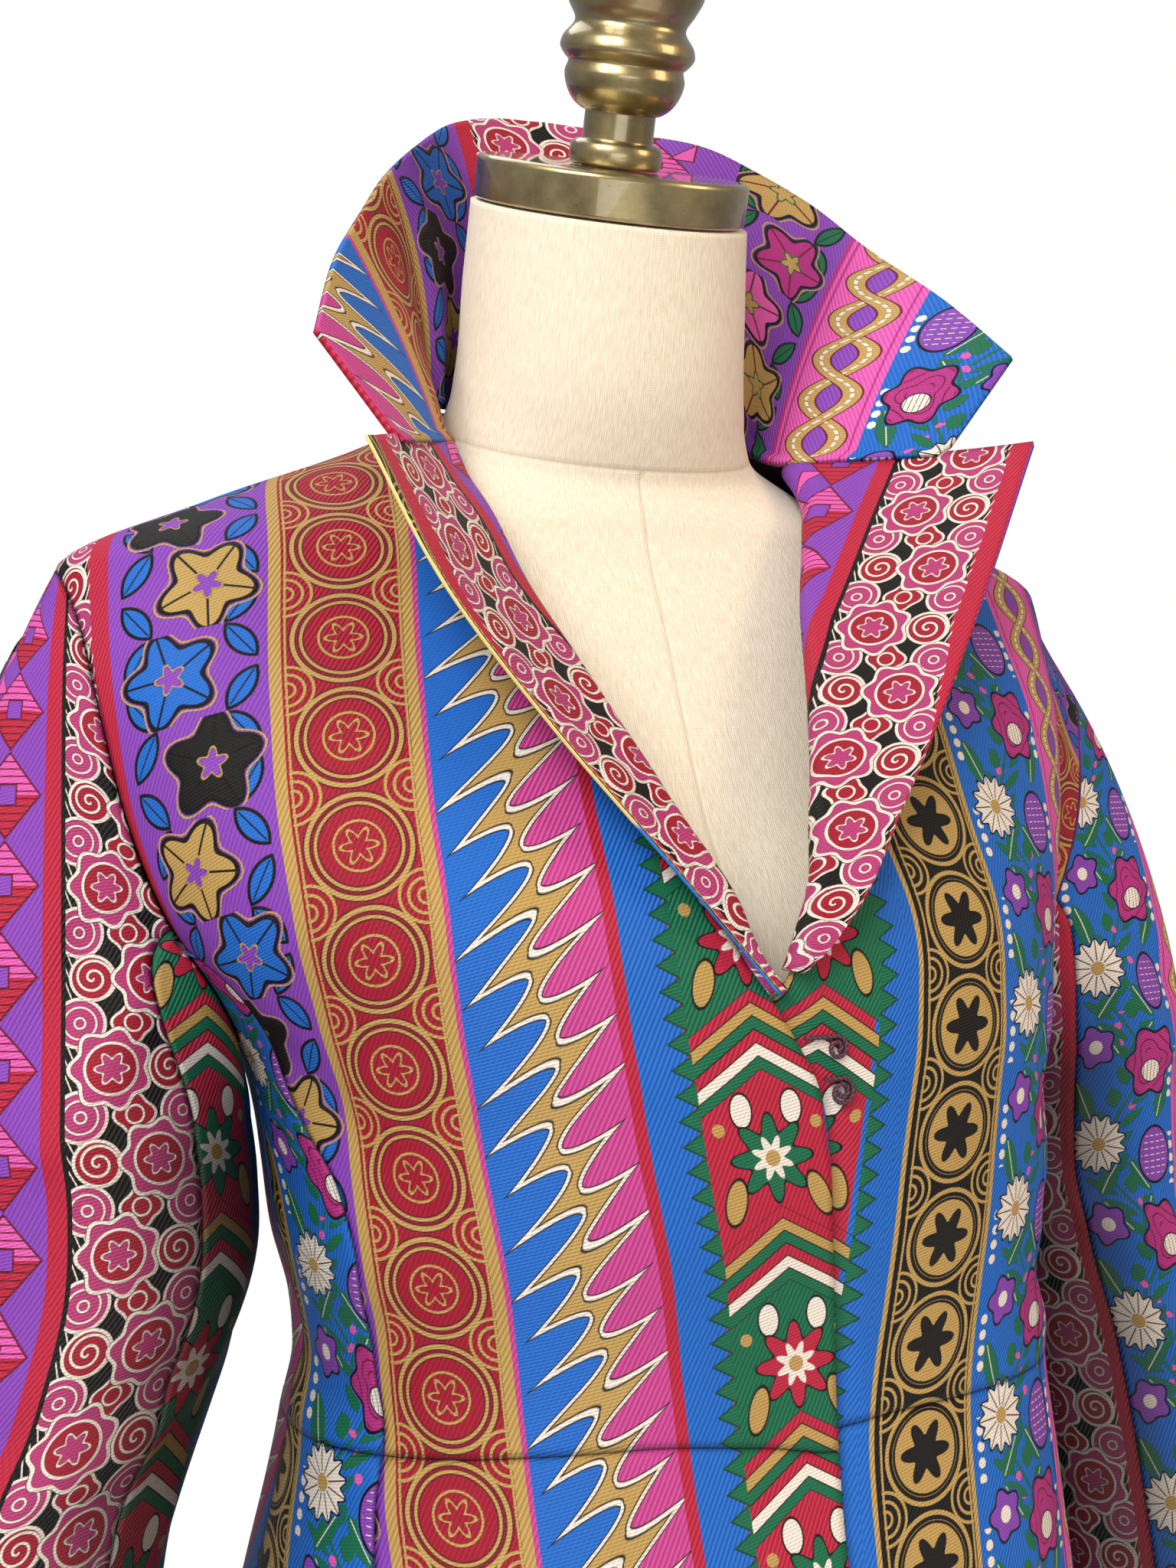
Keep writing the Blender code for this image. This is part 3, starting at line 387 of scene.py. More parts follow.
def along_for_side(side_sign, x, height):
    """Distance round the front half of the ring to a side distance."""
    x, height = np.broadcast_arrays(np.asarray(x, float), np.asarray(height, float))
    curves = {sign: ring_curve(sign, height) for sign in SIDES}
    found = []
    for k, distance in enumerate(x):
        side, _, length = curves[side_sign if distance >= 0 else -side_sign]
        front = slice(0, QUARTER_RING + 1)
        found.append(math.copysign(np.interp(abs(distance), side[k, front], length[k, front]), distance))
    return np.array(found)


def along_for_back(side_sign, x, height):
    """Distance round the ring to a side distance on its back half."""
    side, _, length = ring_curve(side_sign, height)
    side, length = side[:, QUARTER_RING:], length[:, QUARTER_RING:]
    return np.array([np.interp(-x[k], -side[k], length[k]) for k in range(len(x))])


def along_for_depth(side_sign, y, height):
    """Distance round the ring to a given y."""
    _, depth, length = ring_curve(side_sign, height)
    return np.array([np.interp(y[k], depth[k], length[k]) for k in range(len(y))])


print("body chart:", CHARTS[RIGHT].shape)


# %% Seam lines of the cut
def armhole_y(height, front):
    """Front or back y of the armhole: an ellipse drawn back to its top."""
    share = np.clip((height - ARMHOLE_HEIGHT) / ARMHOLE_HALF_HEIGHT, -1.0, 1.0)
    reach = -ARMHOLE_FRONT if front else ARMHOLE_BACK
    return ARMHOLE_TOP_Y * (share + 1.0) / 2.0 + np.sqrt(1.0 - share ** 2) * reach


def front_edge(side_sign, height):
    """Distance round the ring to a front's own edge."""
    return along_for_side(side_sign, column(FRONT_EDGE, SIDES[side_sign], height) * side_sign, height)


def princess(side_sign, height):
    """Distance round the ring to the seam between front and side front."""
    seam = along_for_side(side_sign, column(PRINCESS_SEAM, SIDES[side_sign], height), height)
    arm = along_for_depth(side_sign, armhole_y(height, True), height)
    return np.where(height > ARMHOLE_BOTTOM, np.minimum(seam, arm), seam)


def side_seam(side_sign, height):
    """Distance round the ring to the side seam, at y = 0."""
    return along_for_depth(side_sign, np.zeros_like(height), height)


def ridge(side_sign, height):
    """Distance round the ring to its widest point, the shoulder seam."""
    return along_for_depth(side_sign, column(BLAZER_RINGS, "side_y", height), height)


def centre_back(side_sign, height):
    """Length of the whole half ring."""
    return ring_curve(side_sign, height)[2][:, -1]


def front_outer(side_sign, height):
    """Outer limit of a front: princess seam, then armhole, then shoulder."""
    limit = princess(side_sign, np.minimum(height, PRINCESS_TOP))
    arm = along_for_depth(side_sign, armhole_y(height, True), height)
    top = ridge(side_sign, height)
    return np.where(height <= PRINCESS_TOP, limit, np.where(height <= ARMHOLE_TOP, arm, top))


def back_inner(side_sign, height):
    """Outer limit of a back: side seam, armhole, shoulder seam, neckline."""
    arm = along_for_depth(side_sign, armhole_y(height, False), height)
    rise = ramp(height, NECK_SIDE_HEIGHT, NECK_SIDE_HEIGHT + NECK_BACK_RISE)
    neck = along_for_back(side_sign, NECK_HALF_WIDTH * np.sqrt(1.0 - rise ** 2), height)
    low = np.where(height <= ARMHOLE_BOTTOM, side_seam(side_sign, height), arm)
    high = np.where(height < NECK_SIDE_HEIGHT, ridge(side_sign, height), neck)
    return np.where(height <= ARMHOLE_TOP, low, high)


def tuck(side_sign, points):
    """How far the left front lies inside the ring, under the right front."""
    if side_sign == RIGHT:
        return np.zeros(points.shape[:-1])
    flush = column(FRONT_EDGE, "right", points[..., 2]) + LAP_MARGIN
    under = ramp(points[..., 0], flush + LAP_SLOPE, flush)
    return OVERLAP_TUCK * under * ramp(points[..., 2], OVERLAP_TOP + OVERLAP_FADE, OVERLAP_TOP)


print("front edges at the waist:", [round(float(front_edge(sign, np.zeros(1))[0]), 1) for sign in SIDES])


# %% [markdown]
# ## Striped brocade
# The real cloth is a heavy jacquard: satin stripes of rayon with motifs woven
# in coloured and metallic wefts, raised outlines, and a diagonal twill that
# shows everywhere. It could be an image, but here each stripe is drawn by a
# few formulas in millimetres of cloth, so it stays sharp at any distance. One
# material holds one wide stripe, and all of them share the same plain ground.
# %% Formulas into nodes
OPERATIONS = {"sin": "SINE", "cos": "COSINE", "abs": "ABSOLUTE", "sqrt": "SQRT", "floor": "FLOOR",
              "frac": "FRACT", "min": "MINIMUM", "max": "MAXIMUM", "mod": "FLOORED_MODULO",
              "angle": "ARCTAN2", "over": "GREATER_THAN", "clip": "ADD",
              ast.Add: "ADD", ast.Sub: "SUBTRACT", ast.Mult: "MULTIPLY", ast.Div: "DIVIDE"}
ARITHMETIC = {ast.Add: operator.add, ast.Sub: operator.sub, ast.Mult: operator.mul,
              ast.Div: operator.truediv}
SHORTHAND = {
    "hypot": ("a b", "sqrt(a * a + b * b)"),
    "fill": ("d", "clip(0.5 - d * 4)"),
    "line": ("d w", "clip(w * 2 + 0.5 - abs(d) * 4)"),
    "within": ("d half", "over(half, abs(d))"),
}


def formula(tree, part, fields):
    """Math nodes for one written expression. A name is a field, a word of
    SHORTHAND stands for its own longer expression, sums of plain numbers are
    worked out at once, clip keeps a value between 0 and 1, and max may have
    more than two values."""
    if isinstance(part, ast.Constant):
        return float(part.value)
    if isinstance(part, ast.Name):
        return fields[part.id]
    if isinstance(part, ast.UnaryOp):
        part = ast.BinOp(part.operand, ast.Mult(), ast.Constant(-1.0))
    if isinstance(part, ast.BinOp):
        word, sides = type(part.op), (part.left, part.right)
    else:
        word, sides = part.func.id, part.args
        if len(sides) > 2:
            sides = [ast.Call(part.func, sides[:-1]), sides[-1]]
    values = [formula(tree, side, fields) for side in sides]
    if word in SHORTHAND:
        names, text = SHORTHAND[word]
        return formula(tree, ast.parse(text).body[0].value, dict(zip(names.split(), values)))
    if word in ARITHMETIC and all(isinstance(value, float) for value in values):
        return ARITHMETIC[word](*values)
    clip = word == "clip"
    inputs = {0: values[0], 1: 0.0} if clip else dict(enumerate(values))
    return add_node(tree, "ShaderNodeMath", inputs, operation=OPERATIONS[word], use_clamp=clip).outputs[0]


def draw(tree, text, **fields):
    """Fields after each line of a drawing, written as name = expression."""
    for line in ast.parse(text).body:
        fields[line.targets[0].id] = formula(tree, line.value, fields)
    return fields


print("words of a drawing:", [word for word in (*OPERATIONS, *SHORTHAND) if isinstance(word, str)])

# %% The plain stripes under every motif
# The cloth repeats after 552 mm, and a repeat starts 5 mm before the first
# stripe. Each stripe is given by where it starts, each motif likewise.
REPEAT, REPEAT_LEAD = 552.0, 5.0
RED, CRIMSON, ROSE, MAGENTA, PINK = "#B8213F", "#A0152F", "#B23A74", "#B32D84", "#E05CB2"
PURPLE, BLUE, GREEN, GOLD = "#8744B6", "#1B68C8", "#0F6B4A", "#BC9A58"
BLACK, WHITE, DARK_RED, DEEP_GREEN = "#0B0909", "#EFE5DA", "#6E1026", "#0B4534"
STRIPES = (
    (0, BLUE), (8, RED), (56, BLUE), (74.5, RED), (79, "#C64592"), (129, DARK_RED), (130.5, GOLD),
    (134, CRIMSON), (176, GOLD), (179, PURPLE), (236, RED), (244, BLACK), (289, RED), (296.5, PURPLE),
    (392, MAGENTA), (396, PINK), (434, BLUE), (494, GOLD), (497, BLACK), (539, GOLD), (542, BLUE),
)
GROUPS = (("folk", -5.0), ("flame", 69.0), ("roundel", 132.0), ("flower", 177.5), ("scallop", 241.5),
          ("lozenge", 291.5), ("rose", 341.5), ("plait", 394.5), ("meadow", 433.0), ("medal", 495.5))
print("ground stripes:", len(STRIPES), "in", REPEAT, "mm")

# %% [markdown]
# ## Motifs
# Each motif is drawn in millimetres across (u) and along (v) its stripe. A
# line is a field: fill marks where it is below zero, line marks a cord of a
# given width along its zero, and within marks a band about zero.

# %% Drawings of the motifs
FOLK = """
x = u - 32
side = abs(x)
tooth = (side - 24 - 7.4 * abs(2 * frac(v / 8.6) - 1)) * 0.5
outside = over(side, 24)
teeth = fill(tooth) * outside
teeth_edge = line(tooth, 0.7) * outside
inside = 1 - outside
cell = floor(v / 74)
q = v - cell * 74 - 37
kind = mod(cell, 2)
s = mod(v + 37, 74) - 37 + 0.62 * side - 7
chevrons = within(s, 13.5) * inside
step = mod(floor((s + 13.5) / 4.5), 6)
chevron_white = chevrons * within(step - 1, 0.5)
chevron_gold = chevrons * within(step - 4, 0.5)
chevron_green = chevrons * (within(step, 0.5) + within(step - 3, 0.5))
chevron_edge = chevrons * line((frac(s / 4.5 + 0.5) - 0.5) * 4.5, 0.5)
ground_green = (inside - chevrons) * kind
r = hypot(x, q)
a = angle(q, x)
petal = (r - 12.4 - 3.2 * cos(8 * a)) * 0.72
clear = inside - chevrons
bloom = fill(petal) * clear
bloom_edge = line(petal, 0.7) * clear
bloom_green = bloom * (1 - kind)
bloom_red = bloom * kind
crown = fill((r - 6.2 - 1.8 * cos(8 * a + 3.14)) * 0.8)
eye = fill(r - 2.8)
drop = hypot(side - 9.5, (q - 17) * 0.66) - 4
leaf = hypot((side - 16) * 0.95 + (q + 14) * 0.35, (q + 14 - (side - 16) * 0.5) * 0.42) - 3.9
drops = fill(drop) * clear
leaves = fill(leaf) * clear * (1 - bloom)
berry = fill(hypot(side - 18.5, q - 11) - 2.3) * clear
thin_edge = max(line(drop, 0.6), line(leaf, 0.6)) * clear * (1 - bloom)
"""
FLAME = """
lean = v + (u - 79) * 0.75
small = abs(2 * frac(lean / 16.5) - 1)
large = 3 * sin(v * 0.119)
reach = over(u, 79) * over(129, u)
first = (u - 102 - large + 19 * small * small) / (1.0 + 4.9 * small)
second = (u - 103 - large - 20 * (1 - small) * (1 - small)) / (1.0 + 5.1 * (1 - small))
golden = fill(-first) * reach
blue = fill(-second) * reach
cord = max(line(first, 1.1), line(second, 1.1)) * reach
shadow = max(line(first, 1.8), line(second, 1.8)) * reach
"""
ROUNDEL = """
x = u - centre
size = 1 + 0.7 * over(centre, 300)
q = mod(v, 38) - 19
r = hypot(x, q)
a = angle(q, x)
inside = within(x, 20.4)
disc = fill(r - 14)
rings = max(line(r - 17.3, 1.7), line(r - 14.4, 1.2))
petal = r - size * (4.6 + 1.6 * cos(6 * a))
flower = max(line(petal * 0.8, 1.1), line(r - size * 8.4, 1.0))
corner = hypot(abs(x) - 19.4, abs(q) - 19)
arcs = max(line(corner - 8.8, 1.2), line(corner - 5.8, 1.2), line(corner - 2.6, 1.1)) * over(r, 18)
edges = line(abs(x) - 19.7, 1.0)
lines = max(rings, arcs, edges) * inside
motif = flower * inside
core = fill(petal * 0.8) * inside
trace = max(line(r - 17.3, 2.9), line(r - 14.4, 2.3)) * inside
"""
FLOWER = """
x = u - centre
cell = floor(v / 33)
kind = mod(cell, 3)
sway = 13 * mod(cell, 2) - 6.5
q = v - cell * 33 - 16.5
r = hypot(x - sway, q)
a = angle(q, x - sway) * 5 + cell * 2
petal = (r - 14.4 - 2.9 * cos(a)) * 0.8
body = fill(petal)
first = body * within(kind, 0.5)
second = body * within(kind - 1, 0.5)
third = body * within(kind - 2, 0.5)
rim = line(petal, 1.5)
halo = line(petal - 1.5, 0.7)
fold = sin(a * 0.5) * r * 0.4
folds = fill(fold - 0.4) * fill(-fold - 0.4) * fill(petal) * over(r, 4)
heart = r - 4.2 - 1.3 * cos(a)
hearts = fill(heart)
heart_edge = line(heart, 0.9)
dx = abs(x) - 18.2
dy = abs(mod(v + 16.5, 33) - 16.5) - 7.5
t = dx * 0.8 - dy * 0.6
leaf = hypot(abs(t) + 7.2, dx * 0.6 + dy * 0.8) - 11.2
free = 1 - fill(petal - 1.7)
leaves = fill(leaf) * free
leaf_rib = line(t, 0.5) * fill(leaf + 1) * free
leaf_edge = line(leaf, 1.2) * free
"""
SCALLOP = """
x = u - 266.5
inside = within(x, 22.3)
cell = floor(v / 31)
turn = 2 * mod(cell, 2) - 1
q = v - cell * 31 - 15.5
r = hypot(x - 7.5 * turn, q)
a = angle(q, x - 7.5 * turn)
bloom = (r - 12.6 - 1.2 * cos(7 * a)) * 0.9
ring = r - 8.6
core = r - 4.4 - 1.1 * cos(6 * a)
c = hypot(x + 13 * turn, q)
b = angle(q, x + 13 * turn) / 6.2832
curl = c - 7.6
spiral = (frac(c / 3.4 - b) - 0.5) * 3.4
q3 = mod(v + 15.5, 31) - 15.5
e = hypot(abs(x) - 17.5, q3)
shell = e - 8.2
ribs = (frac(e / 3.6) - 0.5) * 3.6
f = hypot(x, q3)
knot = (f - 6.4 - 0.8 * cos(4 * angle(q3, x))) * 0.9
out_bloom = 1 - fill(bloom - 0.8)
out_curl = out_bloom * (1 - fill(curl - 0.6))
pink_part = max(fill(bloom), fill(shell) * out_curl) * inside
red_part = max(fill(ring) * (1 - fill(core)), fill(curl) * out_bloom, fill(knot) * out_curl) * inside
w1 = max(line(bloom, 1.3), line(ring, 1.1), line(core, 0.9))
w2 = max(line(curl, 1.2), line(spiral, 1.0) * fill(curl)) * out_bloom
w3 = max(line(shell, 1.2), line(ribs, 0.8) * fill(shell)) * out_curl
w4 = max(line(knot, 1.0), line(f - 3, 0.9)) * out_curl
w5 = line(frac((abs(x) - q3 * 0.4) / 2.6) * 2.6 - 1.3, 0.5) * over(abs(x), 15) * out_curl
cord = max(w1, w2, w3, w4) * inside
thin = w5 * inside * (1 - pink_part) * (1 - red_part)
"""
LOZENGE = """
x = u - 312
q = mod(v, 31) - 15.5
d = (abs(x) / 13.4 + abs(q) / 15 - 1) * 8.5
lozenge = fill(d)
upper = lozenge * over(q, 0)
lower = lozenge * over(0, q)
square = max(abs(x), abs(q)) - 3.6
bars = line((frac(q / 2.6) - 0.5) * 2.6, 0.5) * lozenge * over(square, 0)
hole = fill(square)
tip = abs(mod(v + 15.5, 31) - 15.5)
wedge = max(13.4 - 0.9 * tip - x, x - 14.2, tip - 9) * 0.8
small = fill(wedge) * over(x, 0)
rims = max(line(d, 0.6), line(square, 0.6), line(wedge, 0.5) * over(x, 2))
"""
PLAIT = """
x = u - 415
wave = 9.5 * sin(v * 0.1428)
one = (x - wave) * 0.8
two = (x + wave) * 0.8
lens = fill((abs(x) - abs(wave)) * 0.8)
strand_one = fill(abs(one) - 3.4)
strand_two = fill(abs(two) - 3.4)
cord_one = line(one, 1.5)
cord_two = line(two, 1.5)
beads = within(frac(v / 3.1) - 0.5, 0.33)
rim_one = line(abs(one) - 3.4, 0.7)
rim_two = line(abs(two) - 3.4, 0.7) * (1 - strand_one)
strand_two = strand_two * (1 - strand_one)
cords = max(cord_one, cord_two * (1 - strand_one)) * beads
side_line = line(abs(x) - 16.5, 1.2)
"""
MEADOW = """
x = u - 464
inside = within(x, 29.5)
q = mod(v, 76) - 38
s = (x - 3 - 9 * sin(v * 0.0827)) * 0.8
stem = line(s, 1.3)
lq = mod(v, 9.5) - 4.75
small_leaf = hypot(abs((abs(s) - 6) * 0.8 - lq * 0.6) + 4.6, (abs(s) - 6) * 0.6 + lq * 0.8) - 7
dx = abs(x) - 20
t = dx * 0.94 - (q - 3) * 0.35
big_leaf = hypot(abs(t) + 12.4, dx * 0.35 + (q - 3) * 0.94) - 16.6
ex = abs(x - 2) - 8
ey = abs(q) - 30
w = ex * 0.8 - ey * 0.6
low_leaf = hypot(abs(w) + 9.6, ex * 0.6 + ey * 0.8) - 13.4
r2 = hypot(x + 12.5, (q - 19) * 0.86)
a2 = angle(q - 19, x + 12.5)
bloom = (r2 - 12.6 - 1.7 * cos(6 * a2)) * 0.85
bloom_rings = line(sin(r2 * 0.85 + 1.6 * cos(3 * a2)) * 1.2, 0.55) * fill(bloom + 1) * over(r2, 5)
cup = hypot(x + 12.5, (q - 15) * 1.1) - 5.4
cup_ribs = line(sin((x + 12.5) * 1.5), 0.4) * fill(cup)
r1 = hypot(x - 14, q + 15)
a1 = angle(q + 15, x - 14)
daisy = (r1 - 11.6 - 1.4 * cos(13 * a1)) * 0.85
daisy_lines = line(sin(6.5 * a1) * r1 * 0.15, 0.45) * fill(daisy) * over(r1, 3.4)
plum = (hypot(x + 15, (q + 22) * 0.78) - 9.6) * 0.95
plum_rows = line(sin((q + 22) * 1.15), 0.6) * within(frac((x + 15) / 3.6) - 0.5, 0.32) * fill(plum + 1.2)
r3 = hypot(x - 16, q - 27)
bud = (r3 - 8.2 - 1.2 * cos(5 * angle(q - 27, x - 16))) * 0.9
dots = fill(hypot(mod(v, 5.6) - 2.8, abs(x) - 26.6) - 1.9) * over(sin(v * 0.165), -0.3)
berries = fill(hypot(mod(v + 2, 7) - 3.5, x - 1 + 5 * sin(v * 0.12)) - 1.8) * over(0, sin(v * 0.165))
taken = max(fill(bloom - 0.9), fill(daisy - 0.9), fill(bud - 0.9), fill(plum - 0.9))
free = (1 - taken) * inside
leaves = max(fill(small_leaf), fill(big_leaf), fill(low_leaf))
greens = max(stem, leaves) * free
leaf_lines = max(line(t, 0.5) * fill(big_leaf + 1), line(w, 0.5) * fill(low_leaf + 1)) * free
dots = dots * free * (1 - leaves)
berries = berries * free * (1 - leaves)
blooms = fill(bloom) * inside
cups = max(fill(cup), fill(r3 - 3)) * inside
daisies = fill(daisy) * inside
plums = max(fill(plum), fill(bud)) * inside
eyes = fill(r1 - 3) * inside
petal_rims = max(line(daisy, 0.8), line(bloom, 1.0), line(bud, 0.9), line(plum, 0.9))
rims = max(petal_rims, daisy_lines, cup_ribs, line(cup, 0.6)) * inside
"""

# %% Layers of each motif
# The drawing, the middle of its stripe where it needs one, and its layers:
# mask, colour, and how far the threads stand up in millimetres.
MOTIFS = {
    "folk": (FOLK, 0.0, (
        ("teeth", GREEN, 0.10), ("teeth_edge", DEEP_GREEN, 0.0), ("ground_green", GREEN, 0.0),
        ("chevron_green", GREEN, 0.10), ("chevron_white", WHITE, 0.20), ("chevron_gold", GOLD, 0.15),
        ("chevron_edge", BLACK, -0.10), ("leaves", GOLD, 0.15), ("drops", WHITE, 0.25),
        ("berry", GOLD, 0.15), ("thin_edge", BLACK, -0.10), ("bloom_green", GREEN, 0.25),
        ("bloom_red", RED, 0.25), ("bloom_edge", BLACK, -0.15), ("crown", WHITE, 0.15),
        ("eye", GOLD, 0.10))),
    "flame": (FLAME, 0.0, (
        ("golden", GOLD, 0.10), ("blue", BLUE, 0.0), ("shadow", BLACK, -0.15), ("cord", WHITE, 0.45))),
    "roundel": (ROUNDEL, 155.0, (
        ("trace", DARK_RED, -0.10), ("lines", GOLD, 0.35), ("motif", GOLD, 0.35))),
    "medal": (ROUNDEL, 518.0, (
        ("disc", GOLD, 0.25), ("lines", GOLD, 0.30), ("core", BLACK, -0.10), ("motif", BLACK, -0.20))),
    "flower": (FLOWER, 207.5, (
        ("leaves", BLUE, 0.20), ("leaf_edge", BLACK, -0.10), ("leaf_rib", BLACK, -0.15),
        ("first", BLUE, 0.25), ("second", GOLD, 0.25), ("third", BLACK, 0.25),
        ("folds", BLACK, -0.15), ("rim", BLACK, -0.15), ("halo", GOLD, 0.25), ("hearts", PURPLE, 0.10),
        ("heart_edge", GOLD, 0.25))),
    "rose": (FLOWER, 366.0, (
        ("leaves", GREEN, 0.20), ("leaf_edge", BLACK, -0.10), ("leaf_rib", BLACK, -0.15),
        ("first", MAGENTA, 0.25), ("second", GOLD, 0.25), ("third", PINK, 0.25),
        ("folds", DARK_RED, -0.15), ("rim", BLACK, -0.15), ("halo", GOLD, 0.25), ("hearts", GOLD, 0.10),
        ("heart_edge", GREEN, 0.25))),
    "scallop": (SCALLOP, 0.0, (
        ("thin", WHITE, 0.15), ("pink_part", ROSE, 0.15), ("red_part", CRIMSON, 0.15),
        ("cord", WHITE, 0.50))),
    "lozenge": (LOZENGE, 0.0, (
        ("small", PINK, 0.10), ("upper", PINK, 0.15), ("lower", RED, 0.15), ("bars", DARK_RED, -0.15),
        ("hole", PURPLE, 0.0), ("rims", DARK_RED, -0.15))),
    "plait": (PLAIT, 0.0, (
        ("lens", PURPLE, 0.0), ("side_line", MAGENTA, 0.0), ("strand_two", GOLD, 0.20),
        ("rim_two", DARK_RED, -0.10), ("strand_one", GOLD, 0.20), ("rim_one", DARK_RED, -0.10),
        ("cords", WHITE, 0.45))),
    "meadow": (MEADOW, 0.0, (
        ("greens", GREEN, 0.20), ("leaf_lines", WHITE, 0.20), ("dots", WHITE, 0.35),
        ("berries", PINK, 0.30), ("blooms", MAGENTA, 0.25), ("bloom_rings", DARK_RED, -0.15),
        ("plums", PURPLE, 0.25), ("plum_rows", WHITE, 0.40), ("cups", WHITE, 0.30),
        ("daisies", WHITE, 0.35), ("eyes", GOLD, 0.10), ("rims", BLACK, -0.15))),
}
print("layers of each motif:", {name: len(layers) for name, (_, _, layers) in MOTIFS.items()})

# %% [markdown]
# ## From drawing to cloth
# Each material starts with the ground stripes, lays its motif over them layer
# by layer, and then darkens and lifts the colour with the weave: twill ribs,
# the picks across them, and small stitches where a motif floats on top. Weft
# yarns a tenth of this size wouldn't show, so they are drawn coarse. Satin of
# rayon is glossy thread by thread but broad as a whole, so it is half rough.

# %% Brocade materials
CLOTH_CHART = f"""
u = mod(x * 1000 + {REPEAT_LEAD}, {REPEAT}) - {REPEAT_LEAD}
v = y * 1000 + 2000
place = (u + {REPEAT_LEAD}) / {REPEAT}
"""
RIB_SPACING, PICK_SPACING, STITCH_SPACING = 1.6, 0.85, 1.15
# Besides the weave and a cloudy tone, the shade takes in painted shade: a dark line within 0.9 mm of each
# seam, where its groove is shaded, and the painted shade that the mesh carries beside and under the arm.
WEAVE = f"""
rib = sin((u * 0.86 + v * 0.51) * {FULL_TURN} / {RIB_SPACING})
pick = sin(v * {FULL_TURN} / {PICK_SPACING}) * sin(u * {FULL_TURN} / {PICK_SPACING})
stitch = sin((v + u * 0.2) * {FULL_TURN} / {STITCH_SPACING})
thread = rib * (1 - cover * 0.75) + stitch * cover * 0.6 + pick * 0.35
sunk = clip(seam / 0.9)
shade = (0.82 + thread * 0.18) * (0.5 + 0.5 * sunk) * recess * (0.9 + 0.2 * cloud)
h = height + thread * 0.13 + min(seam, 1.8) * 0.22
"""


def cloth_fields(tree, **marks):
    """Cloth x and y in metres, and each mark that the mesh carries."""
    chart = add_node(tree, "ShaderNodeUVMap", uv_map="cloth").outputs[0]
    x, y, _ = add_node(tree, "ShaderNodeSeparateXYZ", {0: chart}).outputs
    found = {name: add_node(tree, "ShaderNodeAttribute", attribute_name=mark).outputs["Fac"]
             for name, mark in marks.items()}
    return {"chart": chart, "x": x, "y": y, **found}


def ground_stripes(tree, place):
    """Plain stripes of the ground, by the share of the repeat."""
    bands = add_node(tree, "ShaderNodeValToRGB", {0: place})
    bands.color_ramp.interpolation = "CONSTANT"
    stops = bands.color_ramp.elements
    stops.remove(stops[1])
    stops[0].position, stops[0].color = 0.0, srgb(BLUE)
    for start, code in STRIPES:
        stops.new((start + REPEAT_LEAD) / REPEAT).color = srgb(code)
    return bands.outputs["Color"]


def brocade(name):
    """Ground stripes with one motif, twill ribs every 1.6 mm, a cloudy change
    of tone, the painted shade that the mesh carries, and a dark line of painted
    shade in the groove along each seam."""
    made, tree = new_material("jacquard brocade, " + name)
    text, centre, layers = MOTIFS[name]
    # The mesh carries the distance to the nearest seam and the painted shade beside the arm.
    fields = cloth_fields(tree, seam="seam_distance", recess="recess")
    fields = draw(tree, CLOTH_CHART + text, centre=centre, height=0.0, cover=0.0, **fields)
    colour = ground_stripes(tree, fields["place"])
    for mask, code, relief in layers:
        colour = lay_over(tree, colour, (fields[mask], code))
        if relief:
            raised = f"height = height + {mask} * {relief}\ncover = max(cover, {mask})"
            fields = draw(tree, raised, **fields)
    at = add_node(tree, "ShaderNodeTexCoord").outputs["Object"]
    cloud = add_node(tree, "ShaderNodeTexNoise", {"Vector": at, "Scale": 14.0, "Detail": 3.0})
    fields = draw(tree, WEAVE, cloud=cloud.outputs["Fac"], **fields)
    lit = add_node(tree, "ShaderNodeVectorMath", {0: colour, 3: fields["shade"]}, operation="SCALE")
    satin = {"Roughness": 0.52, "Specular IOR Level": 0.24}
    finish(tree, lit.outputs[0], fields["h"], satin, depth=0.0012)
    return made


BROCADE = {name: brocade(name) for name, _ in GROUPS}
print("brocade stripes:", len(BROCADE), "nodes:", sum(len(m.node_tree.nodes) for m in BROCADE.values()))

# %% The reverse of the brocade, and the binding of an edge
FLOAT_SPACING, REVERSE_SPACING = 1.1, 46.0
reverse, tree = new_material("brocade reverse, plum floats")
fields = draw(tree, CLOTH_CHART + f"""
float_threads = 0.5 + 0.5 * sin(v * {FULL_TURN} / {FLOAT_SPACING})
stripe = 0.5 + 0.5 * sin(u * {FULL_TURN} / {REVERSE_SPACING})
h = float_threads * 0.12
""", **cloth_fields(tree))
plum = lay_over(tree, srgb("#3A1830"), (fields["stripe"], "#241425"), (fields["float_threads"], "#4A2A40"))
finish(tree, plum, fields["h"], {"Roughness": 0.7})

# The binding is straw yellow above this height and blue below it, in metres.
BINDING_CHANGE = 0.529
edge_cord, tree = new_material("edge binding, straw yellow and blue")
at = add_node(tree, "ShaderNodeTexCoord").outputs["Object"]
at_height = add_node(tree, "ShaderNodeSeparateXYZ", {0: at}).outputs[2]
high = draw(tree, f"high = clip((z - {BINDING_CHANGE}) * 400)", z=at_height)["high"]
binding = lay_over(tree, srgb("#2A6FC4"), (high, "#D9C37A"))
set_inputs(tree.nodes["Principled BSDF"], {"Base Color": binding, "Roughness": 0.6})
print("reverse and binding:", reverse.name, "/", edge_cord.name)

# %% [markdown]
# ## Cloth shells
# Every cut piece is a grid of points on its own panel, pushed in or out by
# soft creases, and Solidify gives it the thickness of the cloth. The grid
# also carries the cloth coordinates and the distance to the nearest seam. A
# cloth simulation would hang the same pieces over the form, but a tailored
# blazer keeps the shape of its cut, and that is easier to place.


# %% Grids, tubes and what a mesh carries
def placed(points):
    """Millimetres from the waist to metres from the floor."""
    return points * MM + np.array([0.0, 0.0, WAIST_HEIGHT * MM])


def grid_faces(rows, columns):
    """Quads of a grid, as indices into its flattened points."""
    a = np.arange(rows * columns).reshape(rows, columns)
    return np.stack([a[:-1, :-1], a[:-1, 1:], a[1:, 1:], a[1:, :-1]], axis=-1).reshape(-1, 4)


